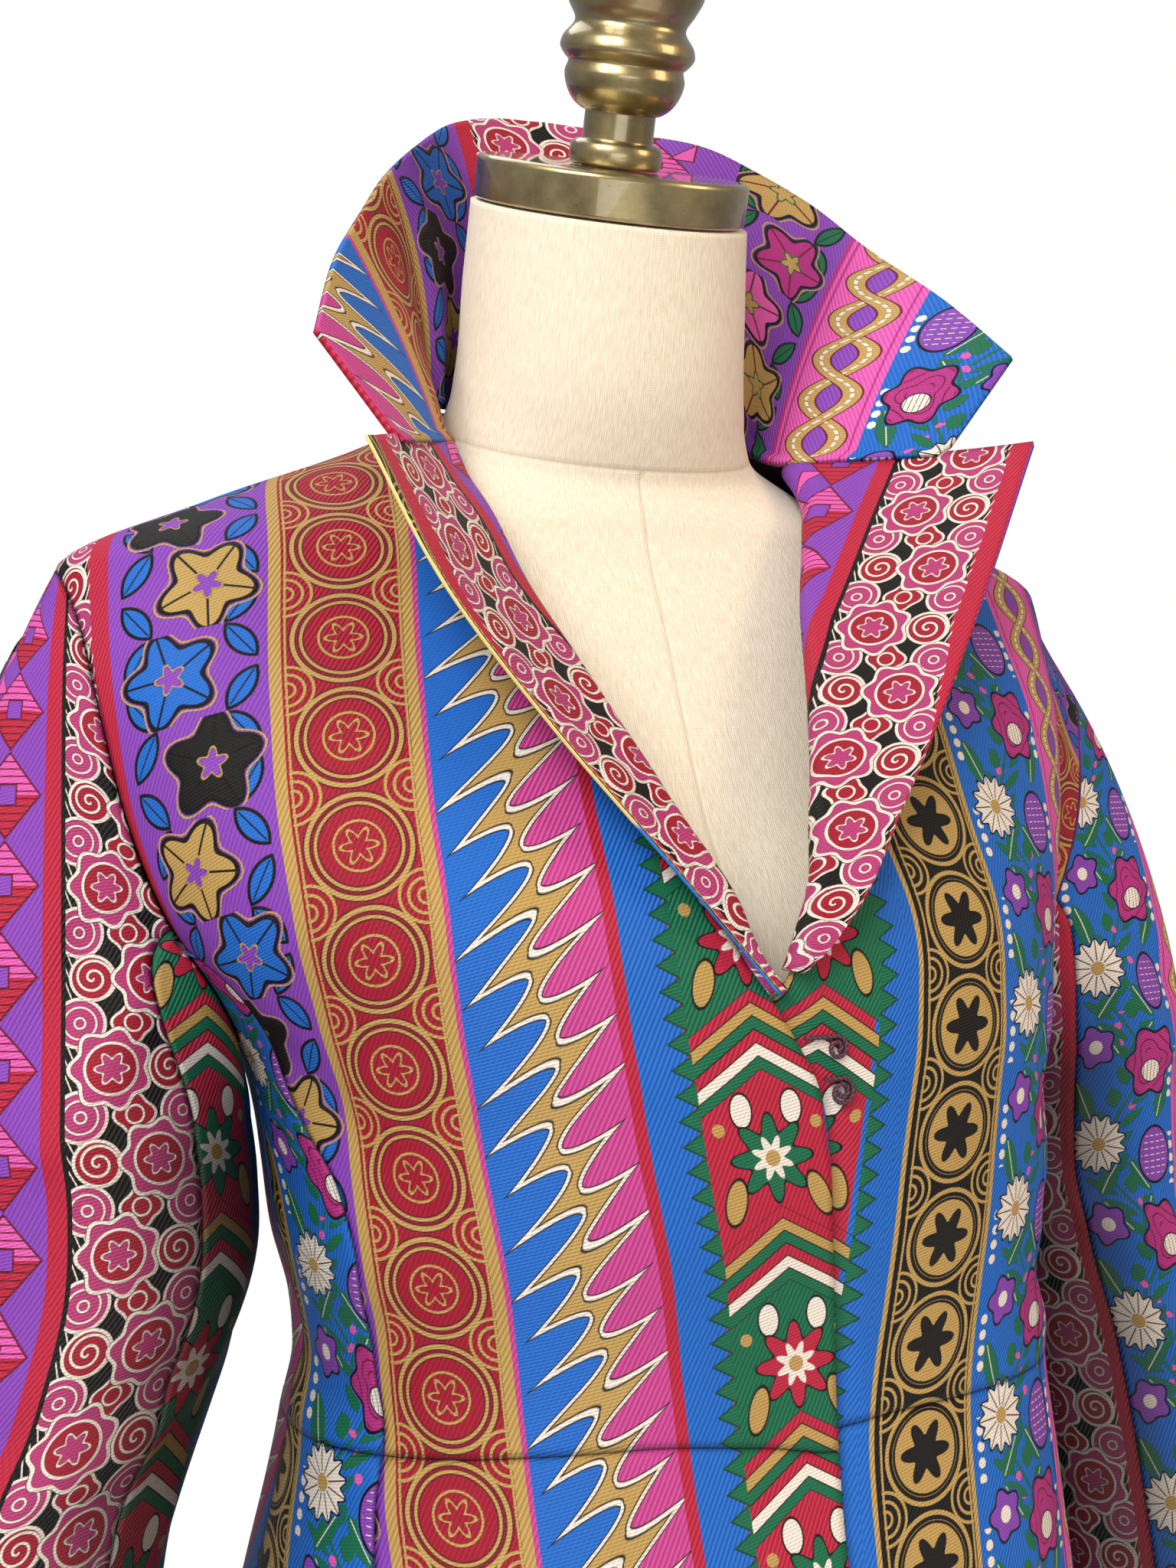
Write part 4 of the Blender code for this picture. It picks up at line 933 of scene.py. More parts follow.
def closed_faces(near, far):
    """Quads and end triangles of a tube. near holds the index of each ring's
    points, far that of the next point round, and the middles of the two ends
    come after all of them."""
    count = far.max() + 1
    walls = np.stack([near[:-1], far[:-1], far[1:], near[1:]], axis=-1).reshape(-1, 4)
    low = np.stack([far[0], near[0], np.full_like(near[0], count)], axis=-1)
    high = np.stack([near[-1], far[-1], np.full_like(near[0], count + 1)], axis=-1)
    return walls, np.concatenate([low, high])


def grid_normals(points):
    """Unit cross product of the two directions of a grid."""
    return unit(np.cross(np.gradient(points, axis=1), np.gradient(points, axis=0)))


def path_lengths(points, axis):
    """Length along one axis of a grid, from its start, in each line."""
    steps = np.linalg.norm(np.diff(points, axis=axis), axis=-1)
    shape = list(steps.shape)
    shape[axis] = 1
    return np.concatenate([np.zeros(shape), np.cumsum(steps, axis=axis)], axis=axis)


def write_chart(mesh, chart):
    """Cloth coordinates in metres, one pair for each corner of a face."""
    mesh.uv_layers.new(name="cloth").data.foreach_set("uv", chart.reshape(-1))


def write_mark(mesh, name, values):
    """One number at each point, for the materials to read."""
    mesh.attributes.new(name, "FLOAT", "POINT").data.foreach_set("value", values.reshape(-1))


def hand_over(piece, node):
    """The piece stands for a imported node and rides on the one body."""
    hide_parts(node)
    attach(piece, "root")
    return piece


# %% From a grid of points to a piece of cloth
FAR_FROM_SEAM = 12.0
SHEETS = {}


def seam_distances(points, seams):
    """Distance to the nearest sewn side of a grid. Letters of seams name the
    sides: first and last column, first and last row."""
    across, along = path_lengths(points, 1), path_lengths(points, 0)
    sides = {"a": across, "b": across[:, -1:] - across, "c": along, "d": along[-1:] - along}
    found = np.full(across.shape, FAR_FROM_SEAM)
    for letter in seams:
        found = np.minimum(found, sides[letter])
    return found


def cloth_piece(node, points, normals, u, v, thickness, seams, same_back=False, recess=1.0):
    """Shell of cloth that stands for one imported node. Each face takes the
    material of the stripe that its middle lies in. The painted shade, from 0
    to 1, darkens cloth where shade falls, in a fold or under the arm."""
    faces = grid_faces(*points.shape[:2])
    corners = points.reshape(-1, 3)[faces]
    cross = np.cross(corners[:, 2] - corners[:, 0], corners[:, 3] - corners[:, 1])
    if np.sum(cross * normals.reshape(-1, 3)[faces].mean(axis=1)) < 0:
        faces = faces[:, ::-1]
    piece = surface_mesh("cloth_" + node, placed(points), faces.tolist())
    mesh = piece.data
    for material in (*BROCADE.values(), reverse):
        mesh.materials.append(material)
    chart = np.stack([u, v], axis=-1).reshape(-1, 2)
    write_chart(mesh, chart[faces.reshape(-1)] * MM)
    write_mark(mesh, "seam_distance", seam_distances(points, seams))
    # Painted shade at each point, which the brocade multiplies into its colour.
    write_mark(mesh, "recess", recess + 0.0 * u)
    middle = np.mod(chart[faces, 0].mean(axis=1) + REPEAT_LEAD, REPEAT) - REPEAT_LEAD
    groups = np.searchsorted([start for _, start in GROUPS], middle, side="right") - 1
    mesh.polygons.foreach_set("material_index", groups.astype(np.int32))
    wall = piece.modifiers.new("cloth thickness", "SOLIDIFY")
    wall.thickness = thickness * MM
    wall.offset = -1.0
    wall.material_offset = 0 if same_back else len(GROUPS)
    wall.material_offset_rim = 0
    area = 0.5 * np.linalg.norm(cross, axis=1).sum() * MM * MM
    width = path_lengths(points, 1)[:, -1].max() * MM
    length = path_lengths(points, 0)[-1].max() * MM
    SHEETS[node] = (piece, width, length, area)
    return hand_over(piece, node)


def creases(lines, along, height):
    """Sum of soft troughs and ridges. Each is a segment in distance and
    height, and its depth falls off as exp(-(d / w)^2) with the distance d
    from the nearest point of the segment."""
    total = np.zeros(np.broadcast(along, height).shape)
    for a0, h0, a1, h1, width, depth in lines:
        run = np.array([a1 - a0, h1 - h0], float)
        share = ((along - a0) * run[0] + (height - h0) * run[1]) / (run @ run)
        held = np.clip(share, 0.0, 1.0)
        d = np.hypot(along - a0 - held * run[0], height - h0 - held * run[1])
        total = total + depth * np.exp(-(d / width) ** 2)
    return total


print("cloth wall:", CLOTH, "mm, lapels:", LAPEL_THICKNESS, "mm, collar:", COLLAR_THICKNESS, "mm")

# %% [markdown]
# ## Bodice and skirt
# Fronts, side fronts and backs meet in vertical seams and at the waist seam.
# The stripes run down the grain, and the tables below say how far the grain
# of each piece wanders from its ring, as the stripes on the real one show.

# %% Grain and creases of the body
GRAIN = {
    RIGHT: {"height": (-205, -20, 10, 62, 115, 165, 182, 217, 269, 327, 402),
            "along": (-50, -41, -39, -33, -22.5, -15, -14, -14, -17, -25, -34)},
    LEFT: {"height": (-205, -20, 0, 47, 102, 156, 183, 211, 270, 330, 402),
           "along": (60, 65, 66, 72.5, 77.5, 85.5, 87.5, 83, 80, 74, 66)},
}
BODY_CREASES = {
    RIGHT: ((176, 150, 120, 96, 9, -1.8), (182, 136, 140, 70, 10, 1.6), (190, 40, 120, 14, 8, -1.2),
            (196, 24, 130, -6, 9, 1.4), (200, 190, 170, 150, 8, 1.2), (230, 30, 330, 8, 10, -1.4),
            (240, 8, 340, -14, 10, 1.6), (250, 150, 330, 230, 14, 1.8), (262, 130, 350, 204, 12, -1.2),
            (60, 30, 10, 22, 9, 0.6), (300, -60, 320, -190, 16, 2.6), (240, -70, 236, -200, 15, -1.6),
            (90, -60, 96, -200, 16, 1.6), (30, -80, 34, -200, 13, -0.8)),
    LEFT: ((150, 44, 214, 22, 8, -1.8), (146, 26, 216, 2, 9, 1.8), (200, 150, 150, 108, 9, -1.6),
           (206, 132, 158, 84, 10, 1.4), (170, 60, 216, 52, 8, 1.2), (236, 34, 330, 12, 10, -1.4),
           (244, 14, 344, -8, 10, 1.5), (246, 160, 336, 236, 14, 1.6), (258, 136, 352, 214, 12, -1.2),
           (306, -56, 326, -190, 16, 2.2), (232, -66, 240, -200, 15, -1.4), (110, -60, 104, -200, 16, 1.2)),
}
# Cloth u at the line from which each panel's stripes are measured.
CLOTH_START = {"front_right": 8.0, "front_left": 518.0, "side_front_right": 452.0, "back": 268.0}


NO_CREASES_ABOVE, FULL_CREASES_BELOW = 300.0, 240.0


def body_creases(side_sign, along, height):
    """Creases of one side, gone where the cloth lies on the shoulders."""
    fade = ramp(height, NO_CREASES_ABOVE, FULL_CREASES_BELOW)
    return creases(BODY_CREASES[side_sign], along, height) * fade


# %% Stripes and panels of the body
STEEPEST = 3.0


def vertical_lengths(side_sign):
    """Length up the cloth from the waist at each place of the chart: the
    sum over each millimetre of height of the root of 1 + dx^2 + dy^2."""
    across, deep = np.diff(CHARTS[side_sign], axis=1)
    slope = np.minimum(np.sqrt(1.0 + across ** 2 + deep ** 2), STEEPEST)
    total = np.concatenate([np.zeros((1, slope.shape[1])), np.cumsum(slope, axis=0)], axis=0)
    return total - total[int(-CHART_LOW)]


LENGTHS = {side_sign: vertical_lengths(side_sign)[None] for side_sign in SIDES}


def body_cloth(side_sign, kind, along, height, seam):
    """Cloth u and v of points on the body. seam is the distance round the
    ring to the princess seam, where the side front's own grain starts."""
    v = read_chart(LENGTHS[side_sign], np.abs(along), height)[0]
    if kind == "back":
        u = CLOTH_START["back"] + side_sign * (centre_back(side_sign, height[:, 0])[:, None] - along)
    elif kind == "side" and side_sign == RIGHT:
        u = CLOTH_START["side_front_right"] + along - seam
    elif side_sign == RIGHT:
        u = CLOTH_START["front_right"] + along - column(GRAIN[RIGHT], "along", height)
    else:
        u = CLOTH_START["front_left"] - (along - column(GRAIN[LEFT], "along", height))
    return u, v


# Painted shade beside the side seam, where the arm shades the body: how dark, how wide, the height above
# which there is none, and how far down it fades in.
SIDE_SHADE, SIDE_SHADE_WIDTH, SIDE_SHADE_TOP, SHADE_FADE = 0.55, 48.0, 215.0, 60.0


def body_panel(node, side_sign, kind, rows, low, high, columns, seams):
    """One panel between two limits. A share s from 0 to 1 runs from the
    low limit to the high one, and rows near the waist are lifted with it.
    Painted shade darkens the cloth beside the side seam, where the arm shades it."""
    share = np.linspace(0.0, 1.0, columns)[None, :]
    along = low[:, None] * (1 - share) + high[:, None] * share
    lift = smooth_table(along, WAIST_LIFT[side_sign]["along"], WAIST_LIFT[side_sign]["lift"])
    height = rows[:, None] + lift * ramp(np.abs(rows[:, None]), WAIST_LIFT_FADE, 0.0)
    points, normals = torso(side_sign, along, height), torso_normal(side_sign, along, height)
    moved = body_creases(side_sign, along, height) - tuck(side_sign, points)
    points = points + normals * moved[..., None]
    seam = princess(side_sign, np.minimum(rows, PRINCESS_TOP))[:, None]
    u, v = body_cloth(side_sign, kind, along, height, seam)
    # Painted shade beside the side seam, fading out towards the armhole.
    beside = (along - side_seam(side_sign, rows)[:, None]) / SIDE_SHADE_WIDTH
    under = ramp(height, SIDE_SHADE_TOP, SIDE_SHADE_TOP - SHADE_FADE)
    recess = 1.0 - SIDE_SHADE * np.exp(-beside ** 2) * under
    return cloth_piece(node, points, normals, u, v, CLOTH, seams, recess=recess)


def even_rows(start, end, spacing):
    """Heights from start to end, evenly spaced and no further apart."""
    return np.linspace(start, end, int(abs(end - start) / spacing) + 2)


# %% Bodice and skirt, piece by piece
ROW_SPACING, SHOULDER_SPACING, SHOULDER_START, FRONT_TOP, BACK_TOP = 4.0, 3.5, 323.0, 379.0, 381.0
ARMHOLE_ROWS, FRONT_COLUMNS, SIDE_COLUMNS, BACK_COLUMNS = 57, 62, 22, 60
SKIRT_FRONT_COLUMNS, SKIRT_BACK_COLUMNS = 52, 62
half_gap = SEAM_GAP / 2
arm_turn = np.linspace(0.0, math.pi, ARMHOLE_ROWS)
arm_rows = ARMHOLE_HEIGHT - ARMHOLE_HALF_HEIGHT * np.cos(arm_turn)
low_rows = even_rows(half_gap, ARMHOLE_BOTTOM, ROW_SPACING)[:-1]
for side_sign, side in SIDES.items():
    rows = np.concatenate([low_rows, arm_rows, even_rows(SHOULDER_START, FRONT_TOP, SHOULDER_SPACING)])
    body_panel("front_" + side, side_sign, "front", rows, front_edge(side_sign, rows),
               front_outer(side_sign, rows) - half_gap, FRONT_COLUMNS, "bc")
    rows = np.concatenate([low_rows, arm_rows[arm_rows < PRINCESS_TOP - 3.0], [PRINCESS_TOP - 2.5]])
    arm = along_for_depth(side_sign, armhole_y(rows, True), rows)
    outer = np.where(rows > ARMHOLE_BOTTOM, arm, side_seam(side_sign, rows)) - half_gap
    body_panel("side_front_" + side, side_sign, "side", rows, princess(side_sign, rows) + half_gap,
               outer, SIDE_COLUMNS, "abc")
    neck = NECK_SIDE_HEIGHT + NECK_BACK_RISE * np.sin(np.radians(np.linspace(0.0, 72.0, 12)))
    shoulder = even_rows(SHOULDER_START, BACK_TOP, SHOULDER_SPACING)
    rows = np.concatenate([low_rows, arm_rows, shoulder, neck])
    body_panel("back_" + side, side_sign, "back", rows, back_inner(side_sign, rows) + half_gap,
               centre_back(side_sign, rows) - half_gap, BACK_COLUMNS, "abc")
    rows = even_rows(-half_gap, HEM_HEIGHT, ROW_SPACING)
    edge, seam = front_edge(side_sign, rows), princess(side_sign, rows)
    flank, back = side_seam(side_sign, rows), centre_back(side_sign, rows)
    body_panel("skirt_front_" + side, side_sign, "front", rows, edge, seam - half_gap,
               SKIRT_FRONT_COLUMNS, "bc")
    body_panel("skirt_side_" + side, side_sign, "side", rows, seam + half_gap, flank - half_gap,
               SIDE_COLUMNS, "abc")
    body_panel("skirt_back_" + side, side_sign, "back", rows, flank + half_gap, back - half_gap,
               SKIRT_BACK_COLUMNS, "abc")
print("body panels:", {name: round(area, 3) for name, (_, _, _, area) in SHEETS.items()})

# %% [markdown]
# ## Sleeves
# A two-piece sleeve is a bent tube below the upper arm, and above it a cap
# that leaves the armhole outwards and falls in one curve. Its creases gather
# at the front of the armhole and at the bend of the elbow.

# %% Sleeve tables and surface
SLEEVE_RINGS = {
    "height": (-245, -170, -100, -40, 0, 40, 75, 100, 125),
    "x_right": (240, 242, 242, 239, 231, 213, 203, 202, 204),
    "x_left": (240, 242, 242, 241, 238, 232, 229, 229, 230),
    "y": (-22, -14, -5, 4, 10, 17, 21, 20, 17),
    "half_width": (41, 45, 50, 53, 55, 57, 58, 57, 56),
    "half_depth": (42, 45, 48, 51, 53, 55, 57, 57, 56),
}
SLEEVE_TURN = {"height": (0, 45, 90, 120, 150, 180), "turn": (14, 26, 52, 90, 138, 164)}
BICEP_HEIGHT, SLEEVE_HEM, SLEEVE_CLEARANCE, SEAM_ANGLE = 120.0, -245.0, 0.5, math.radians(120.0)
CAP_PULL, ARM_PULL = 0.32, 0.34


def wrapped(angle):
    """Angle brought between minus and plus half a turn."""
    return (angle + math.pi) % FULL_TURN - math.pi


def sleeve_ring(side_sign, angle, height):
    """Ellipse round the arm: angle 0 is the outer side, a quarter turn is
    the front."""
    centre = column(SLEEVE_RINGS, "x_" + SIDES[side_sign], height)
    x = centre + column(SLEEVE_RINGS, "half_width", height) * np.cos(angle)
    y = column(SLEEVE_RINGS, "y", height) - column(SLEEVE_RINGS, "half_depth", height) * np.sin(angle)
    return np.stack([x * side_sign, y, height + 0.0 * angle], axis=-1)


def armhole(side_sign, angle):
    """Point and torso normal on the armhole at an angle from the shoulder."""
    angle = wrapped(angle)
    height = ARMHOLE_HEIGHT + ARMHOLE_HALF_HEIGHT * np.cos(angle)
    y = np.where(np.sin(angle) >= 0, armhole_y(height, True), armhole_y(height, False))
    along = along_for_depth(side_sign, y, height)
    return torso(side_sign, along, height), torso_normal(side_sign, along, height)


def sleeve_points(side_sign, angles, positions):
    """Points of a sleeve. Position 0 to 1 is the cap, a cubic curve from the
    armhole to the bicep ring, and 1 to 2 is the tube down to the cuff."""
    edge, normal = armhole(side_sign, angles)
    tangent = armhole(side_sign, angles + 0.02)[0] - armhole(side_sign, angles - 0.02)[0]
    opening = unit(np.cross(normal, tangent)) * side_sign
    turn = np.radians(column(SLEEVE_TURN, "turn", np.degrees(np.abs(wrapped(angles)))))[:, None]
    leave = np.cos(turn) * opening + np.sin(turn) * normal
    start = edge + SLEEVE_CLEARANCE * (np.cos(turn / 2) * opening + np.sin(turn / 2) * normal)
    end = sleeve_ring(side_sign, angles, np.full_like(angles, BICEP_HEIGHT))
    reach = np.linalg.norm(end - start, axis=-1, keepdims=True)
    first, second = start + leave * reach * CAP_PULL, end + np.array([0.0, 0.0, 1.0]) * reach * ARM_PULL
    t = np.minimum(positions, 1.0)[:, None, None]
    cap = start * (1 - t) ** 3 + end * t ** 3
    cap = cap + 3 * t * (1 - t) * (first * (1 - t) + second * t)
    height = BICEP_HEIGHT + (SLEEVE_HEM - BICEP_HEIGHT) * np.maximum(positions - 1.0, 0.0)
    tube = sleeve_ring(side_sign, *np.broadcast_arrays(angles[None, :], height[:, None]))
    return np.where(positions[:, None, None] <= 1.0, cap, tube)


# %% Sleeve cloth
# Each crease runs from degrees round the arm and a height to another such pair.
SLEEVE_CREASES = {
    RIGHT: ((96, 190, 60, 150, 9, -2.0), (112, 168, 70, 120, 9, 2.2), (118, 40, 40, 22, 9, -2.4),
            (116, 22, 30, 0, 9, 2.2), (110, 2, 50, -20, 9, -2.0), (-60, 44, -110, 20, 10, -2.0),
            (-50, 18, -112, -6, 10, 2.2), (60, -120, 10, -150, 10, 1.5), (100, -90, 60, -130, 9, -1.4),
            (180, 60, 140, 20, 9, -1.6), (190, 30, 150, -10, 10, 1.6), (-30, 150, -80, 110, 12, 1.4)),
    LEFT: ((100, 196, 64, 148, 8, -2.4), (116, 174, 72, 118, 8, 2.4), (118, 66, 46, 46, 9, -2.2),
           (116, 44, 36, 20, 8, 2.4), (108, 20, 40, -4, 9, -2.6), (104, -4, 56, -28, 10, 1.8),
           (-56, 48, -112, 26, 10, -2.2), (-48, 24, -110, -2, 10, 2.0), (64, -110, 14, -144, 10, 1.6),
           (182, 56, 142, 18, 9, -1.6), (192, 26, 152, -12, 10, 1.6), (-34, 146, -84, 104, 12, 1.4)),
}
# Where the stripes are measured from in degrees, cloth u there, and direction.
SLEEVE_CLOTH = {RIGHT: {"top": (75.0, 289.0, -1.0), "under": (120.0, 593.0, -1.0)},
                LEFT: {"top": (120.0, 488.0, 1.0), "under": (120.0, 238.0, 1.0)}}


UPPER_ARM_RADIUS, SEAM_RADIUS, SLEEVE_V = 56.0, 55.0, 555.0
# Painted shade on the inner side of the sleeve, which faces the body: how dark, the degrees from the outer
# side where it starts and where it is full, and the height above which there is none.
INNER_SHADE, INNER_START, INNER_FULL, INNER_TOP = 0.78, 74.0, 124.0, 170.0


def sleeve_piece(node, side_sign, kind, angles, positions):
    """Top or under sleeve. Its stripes follow the angle round the arm, times
    the mean of the arm's own radius and that of the upper arm. Its cloth
    carries painted shade on the inner side, which faces the body."""
    points = sleeve_points(side_sign, angles, positions)
    normals = grid_normals(points) * side_sign
    height = points[..., 2]
    degrees = np.degrees(angles)[None, :] + 0.0 * height
    calm = ramp(positions, 0.0, 0.25) * ramp(positions, 2.0, 1.92)
    across = points[..., 0] * side_sign - column(SLEEVE_RINGS, "x_" + SIDES[side_sign], height)
    deep = column(SLEEVE_RINGS, "y", height) - points[..., 1]
    radius = np.hypot(across, deep)
    turn = np.unwrap(np.arctan2(deep, across), axis=1)
    turn = turn + FULL_TURN * np.round((angles[0] - turn[:, :1]) / FULL_TURN)
    start, u_start, direction = SLEEVE_CLOTH[side_sign][kind]
    reach = np.where(height > BICEP_HEIGHT, np.sqrt(radius * UPPER_ARM_RADIUS), radius)
    u = u_start + direction * (turn - math.radians(start)) * reach
    lengths = path_lengths(points, 0)
    v = lengths[-1:] - lengths - SLEEVE_V
    table = SLEEVE_CREASES[side_sign]
    soft = creases(table, degrees, height) + creases(table, degrees - 360.0, height)
    points = points + normals * (soft * calm[:, None])[..., None]
    # Painted shade on the inner side of the sleeve, gone near the top of the cap.
    from_outside = np.abs(np.degrees(wrapped(np.radians(degrees))))
    inside = ramp(from_outside, INNER_START, INNER_FULL)
    under = ramp(height, INNER_TOP, INNER_TOP - SHADE_FADE)
    recess = 1.0 - INNER_SHADE * inside * inside * (3.0 - 2.0 * inside) * under
    return cloth_piece(node, points, normals, u, v, CLOTH, "abc", recess=recess)


CAP_ROWS, TUBE_ROWS, TOP_COLUMNS, UNDER_COLUMNS = 56, 92, 82, 42
positions = np.concatenate([np.linspace(0.0, 1.0, CAP_ROWS), 1.0 + np.linspace(0.0, 1.0, TUBE_ROWS)[1:]])
gap_turn = half_gap / SEAM_RADIUS
for side_sign, side in SIDES.items():
    sleeve_piece("top_sleeve_" + side, side_sign, "top",
                 np.linspace(-SEAM_ANGLE + gap_turn, SEAM_ANGLE - gap_turn, TOP_COLUMNS), positions)
    under = np.linspace(SEAM_ANGLE + gap_turn, FULL_TURN - SEAM_ANGLE - gap_turn, UNDER_COLUMNS)
    sleeve_piece("under_sleeve_" + side, side_sign, "under", under, positions)
print("sleeves:", [name for name in SHEETS if "sleeve" in name])

# %% [markdown]
# ## Lapels
# The facings are double cloth, turned back over a round fold along the roll
# line and standing off the chest, so their free edges are seen from outside.

# %% Lapel tables and surface
LAPEL_EDGE = {
    RIGHT: {"height": (162, 203, 250, 297, 350), "x": (0, -34, -72, -105, -126),
            "y": (-126, -123, -115, -107, -90)},
    LEFT: {"height": (169, 184, 224, 292, 368), "x": (10, 27, 57, 104, 153),
           "y": (-125, -126, -119, -102, -81)},
}
LAPEL_FOLD, LAPEL_TOP = 4.0, 367.0
NOTCH_SHARE = {RIGHT: 0.70, LEFT: 0.66}
LAPEL_START = {RIGHT: 163.0, LEFT: 169.5}
# The red stripe runs off the free edge below this share of the lapel.
LAPEL_RED_FROM, LAPEL_RED_FADE = {RIGHT: 0.80, LEFT: 0.62}, 0.25
LAPEL_U, LAPEL_RED_WIDTH = 236.4, 8.0
# The right lapel ends in a band of black and gold, wider towards its peak.
BAND_U, BAND_NARROW, BAND_WIDE, BAND_WIDENS_FROM = 497.1, 0.7, 8.0, 0.72
BAND_STEPS, THIN_SHARE, THIN_WIDTH = 4, 0.4, 7.0
RIPPLE, RIPPLE_LENGTH, BOW, BOW_FULL_WIDTH = 0.9, 34.0, 2.2, 60.0


def lapel_rows(side_sign, heights):
    """Roll line of a lapel: point, direction past the front's edge, outward
    normal, and the free edge point of each row."""
    edge = front_edge(side_sign, heights)
    root = torso(side_sign, edge, heights)
    normal = torso_normal(side_sign, edge, heights)
    onward = unit(root - torso(side_sign, edge + 2.0, heights))
    root = root - normal * tuck(side_sign, root)[..., None]
    onward = unit(onward - normal * np.sum(onward * normal, axis=-1, keepdims=True))
    table = LAPEL_EDGE[side_sign]
    span = (heights - heights[0]) / (heights[-1] - heights[0])
    level = table["height"][0] + (table["height"][-1] - table["height"][0]) * span
    free = np.stack([column(table, "x", level), column(table, "y", level), level], axis=-1)
    return root + onward * SEAM_GAP, onward, normal, free


def lapel_grid(side_sign, heights, fold_steps, flat_steps, band=None):
    """Cross-section at each row: an arc of 4 mm radius over the roll line,
    then a straight run to the free edge. Four steps of it lie in the band
    along the free edge, where one is given."""
    root, onward, normal, free = lapel_rows(side_sign, heights)
    offset = free - root
    ahead, out = np.sum(offset * onward, axis=-1), np.sum(offset * normal, axis=-1)
    fold = np.minimum(LAPEL_FOLD, 0.45 * np.hypot(ahead, out))
    distance = np.hypot(ahead, out - fold)
    turn = np.arctan2(out - fold, ahead) + np.arcsin(np.minimum(fold / distance, 1.0))
    a = turn[None, :, None] * np.linspace(0.0, 1.0, fold_steps + 1)[:, None, None]
    arc = root + fold[:, None] * (np.sin(a) * onward + (1 - np.cos(a)) * normal)
    arc_normals = np.cos(a) * normal - np.sin(a) * onward
    t = np.linspace(0.0, 1.0, flat_steps + 1)[1:, None] + 0.0 * heights
    if band is not None:
        reach = np.linalg.norm(free - arc[-1], axis=-1)
        start = 1.0 - np.minimum(band / reach, 0.4)
        left = 1.0 - start
        steps = np.stack([np.minimum(0.05 / reach, 0.1), left * 0.36, left * 0.68, left])
        t = np.linspace(0.0, 1.0, flat_steps + 1 - BAND_STEPS)[1:, None] * start
        t = np.concatenate([t, start + steps])
    t = t[..., None]
    flat = arc[-1] * (1 - t) + free * t
    flat_normals = np.broadcast_to(arc_normals[-1], flat.shape)
    return np.concatenate([arc, flat]), np.concatenate([arc_normals, flat_normals])


print("notch at", NOTCH_SHARE[RIGHT], "and", NOTCH_SHARE[LEFT], "of each lapel's top edge")


# %% Lapels, and the thin bound edge of the right one
LAPEL_SPACING, FOLD_STEPS, FLAT_STEPS = 2.6, 8, 28
for side_sign, side in SIDES.items():
    heights = even_rows(LAPEL_START[side_sign], LAPEL_TOP, LAPEL_SPACING)
    climb = (heights - heights[0]) / (heights[-1] - heights[0])
    band = BAND_NARROW + (BAND_WIDE - BAND_NARROW) * ramp(climb, BAND_WIDENS_FROM, 1.0)
    own_band = band if side_sign == RIGHT else None
    points, normals = lapel_grid(side_sign, heights, FOLD_STEPS, FLAT_STEPS, own_band)
    from_edge = path_lengths(points, 0)
    from_edge = from_edge[-1:] - from_edge
    up_edge = path_lengths(points[-1:], 1) + 0.0 * from_edge
    widest = from_edge.max(axis=0, keepdims=True)
    share = from_edge / np.maximum(widest, 1.0)
    ripple = RIPPLE * np.sin(up_edge / RIPPLE_LENGTH + 0.6 * side_sign)
    bow = BOW * ramp(widest, 0.0, BOW_FULL_WIDTH)
    points = points + normals * ((ripple + bow) * 4 * share * (1 - share))[..., None]
    red_from = LAPEL_RED_FROM[side_sign]
    run_off = ramp(climb, red_from, red_from - LAPEL_RED_FADE)
    u = LAPEL_U + LAPEL_RED_WIDTH * run_off + from_edge
    if side_sign == RIGHT:
        start = from_edge[-BAND_STEPS]
        u = np.where(from_edge <= start, BAND_U + start - from_edge, u - from_edge[-BAND_STEPS - 1])
    lapel = cloth_piece("lapel_" + side, points, normals, u, up_edge, LAPEL_THICKNESS, "", True)
    if side_sign == RIGHT:
        lapel.data.materials[len(GROUPS)] = edge_cord
        lapel.modifiers[0].material_offset_rim = len(GROUPS)
        thinner = lapel.vertex_groups.new(name="thin edge")
        for row, distance in enumerate(from_edge.mean(axis=1)):
            vertices = range(row * len(heights), (row + 1) * len(heights))
            thinner.add(list(vertices), min(1.0, distance / THIN_WIDTH), "REPLACE")
        lapel.modifiers[0].vertex_group = thinner.name
        lapel.modifiers[0].thickness_vertex_group = THIN_SHARE
    print("lapel", side, "width at its top:", round(float(widest[0, -1]), 1), "mm")

# %% [markdown]
# ## Collar
# A tall collar stands from the neckline, hollow towards the neck, and opens
# outwards to two points. Both faces are the same cloth.

# %% Collar table and surface
COLLAR_TOP = {
    "x": (-134, -119, -99, -85, -66, -37, -15, 12, 42, 84, 102, 122, 133, 145, 153),
    "y": (-62, -36, -10, 8, 28, 56, 66, 69, 66, 50, 42, 28, 0, -40, -70),
    "z": (393, 429, 461, 482, 504, 530, 539, 542, 541, 532, 521, 503, 474, 438, 407),
}
COLLAR_BACK_INDEX, COLLAR_HOLLOW, COLLAR_STAND, STAND_TUCK = 6.6, 8.0, 4.2, 2.4
# Shares of the way from the back to a point of the collar: where the stand
# starts and is full, and where the hollow starts to flatten.
STAND_FROM, STAND_FULL, HOLLOW_FLATTENS = 0.42, 0.54, 0.25
NECKLINE_TURNS = (8.0, 24.0, 40.0, 53.0, 66.0, 78.0)
COLLAR_COLUMNS, COLLAR_ROWS, COLLAR_U, COLLAR_GATHER, STRIPE_ROW = 161, 53, 270.0, 0.9, 30


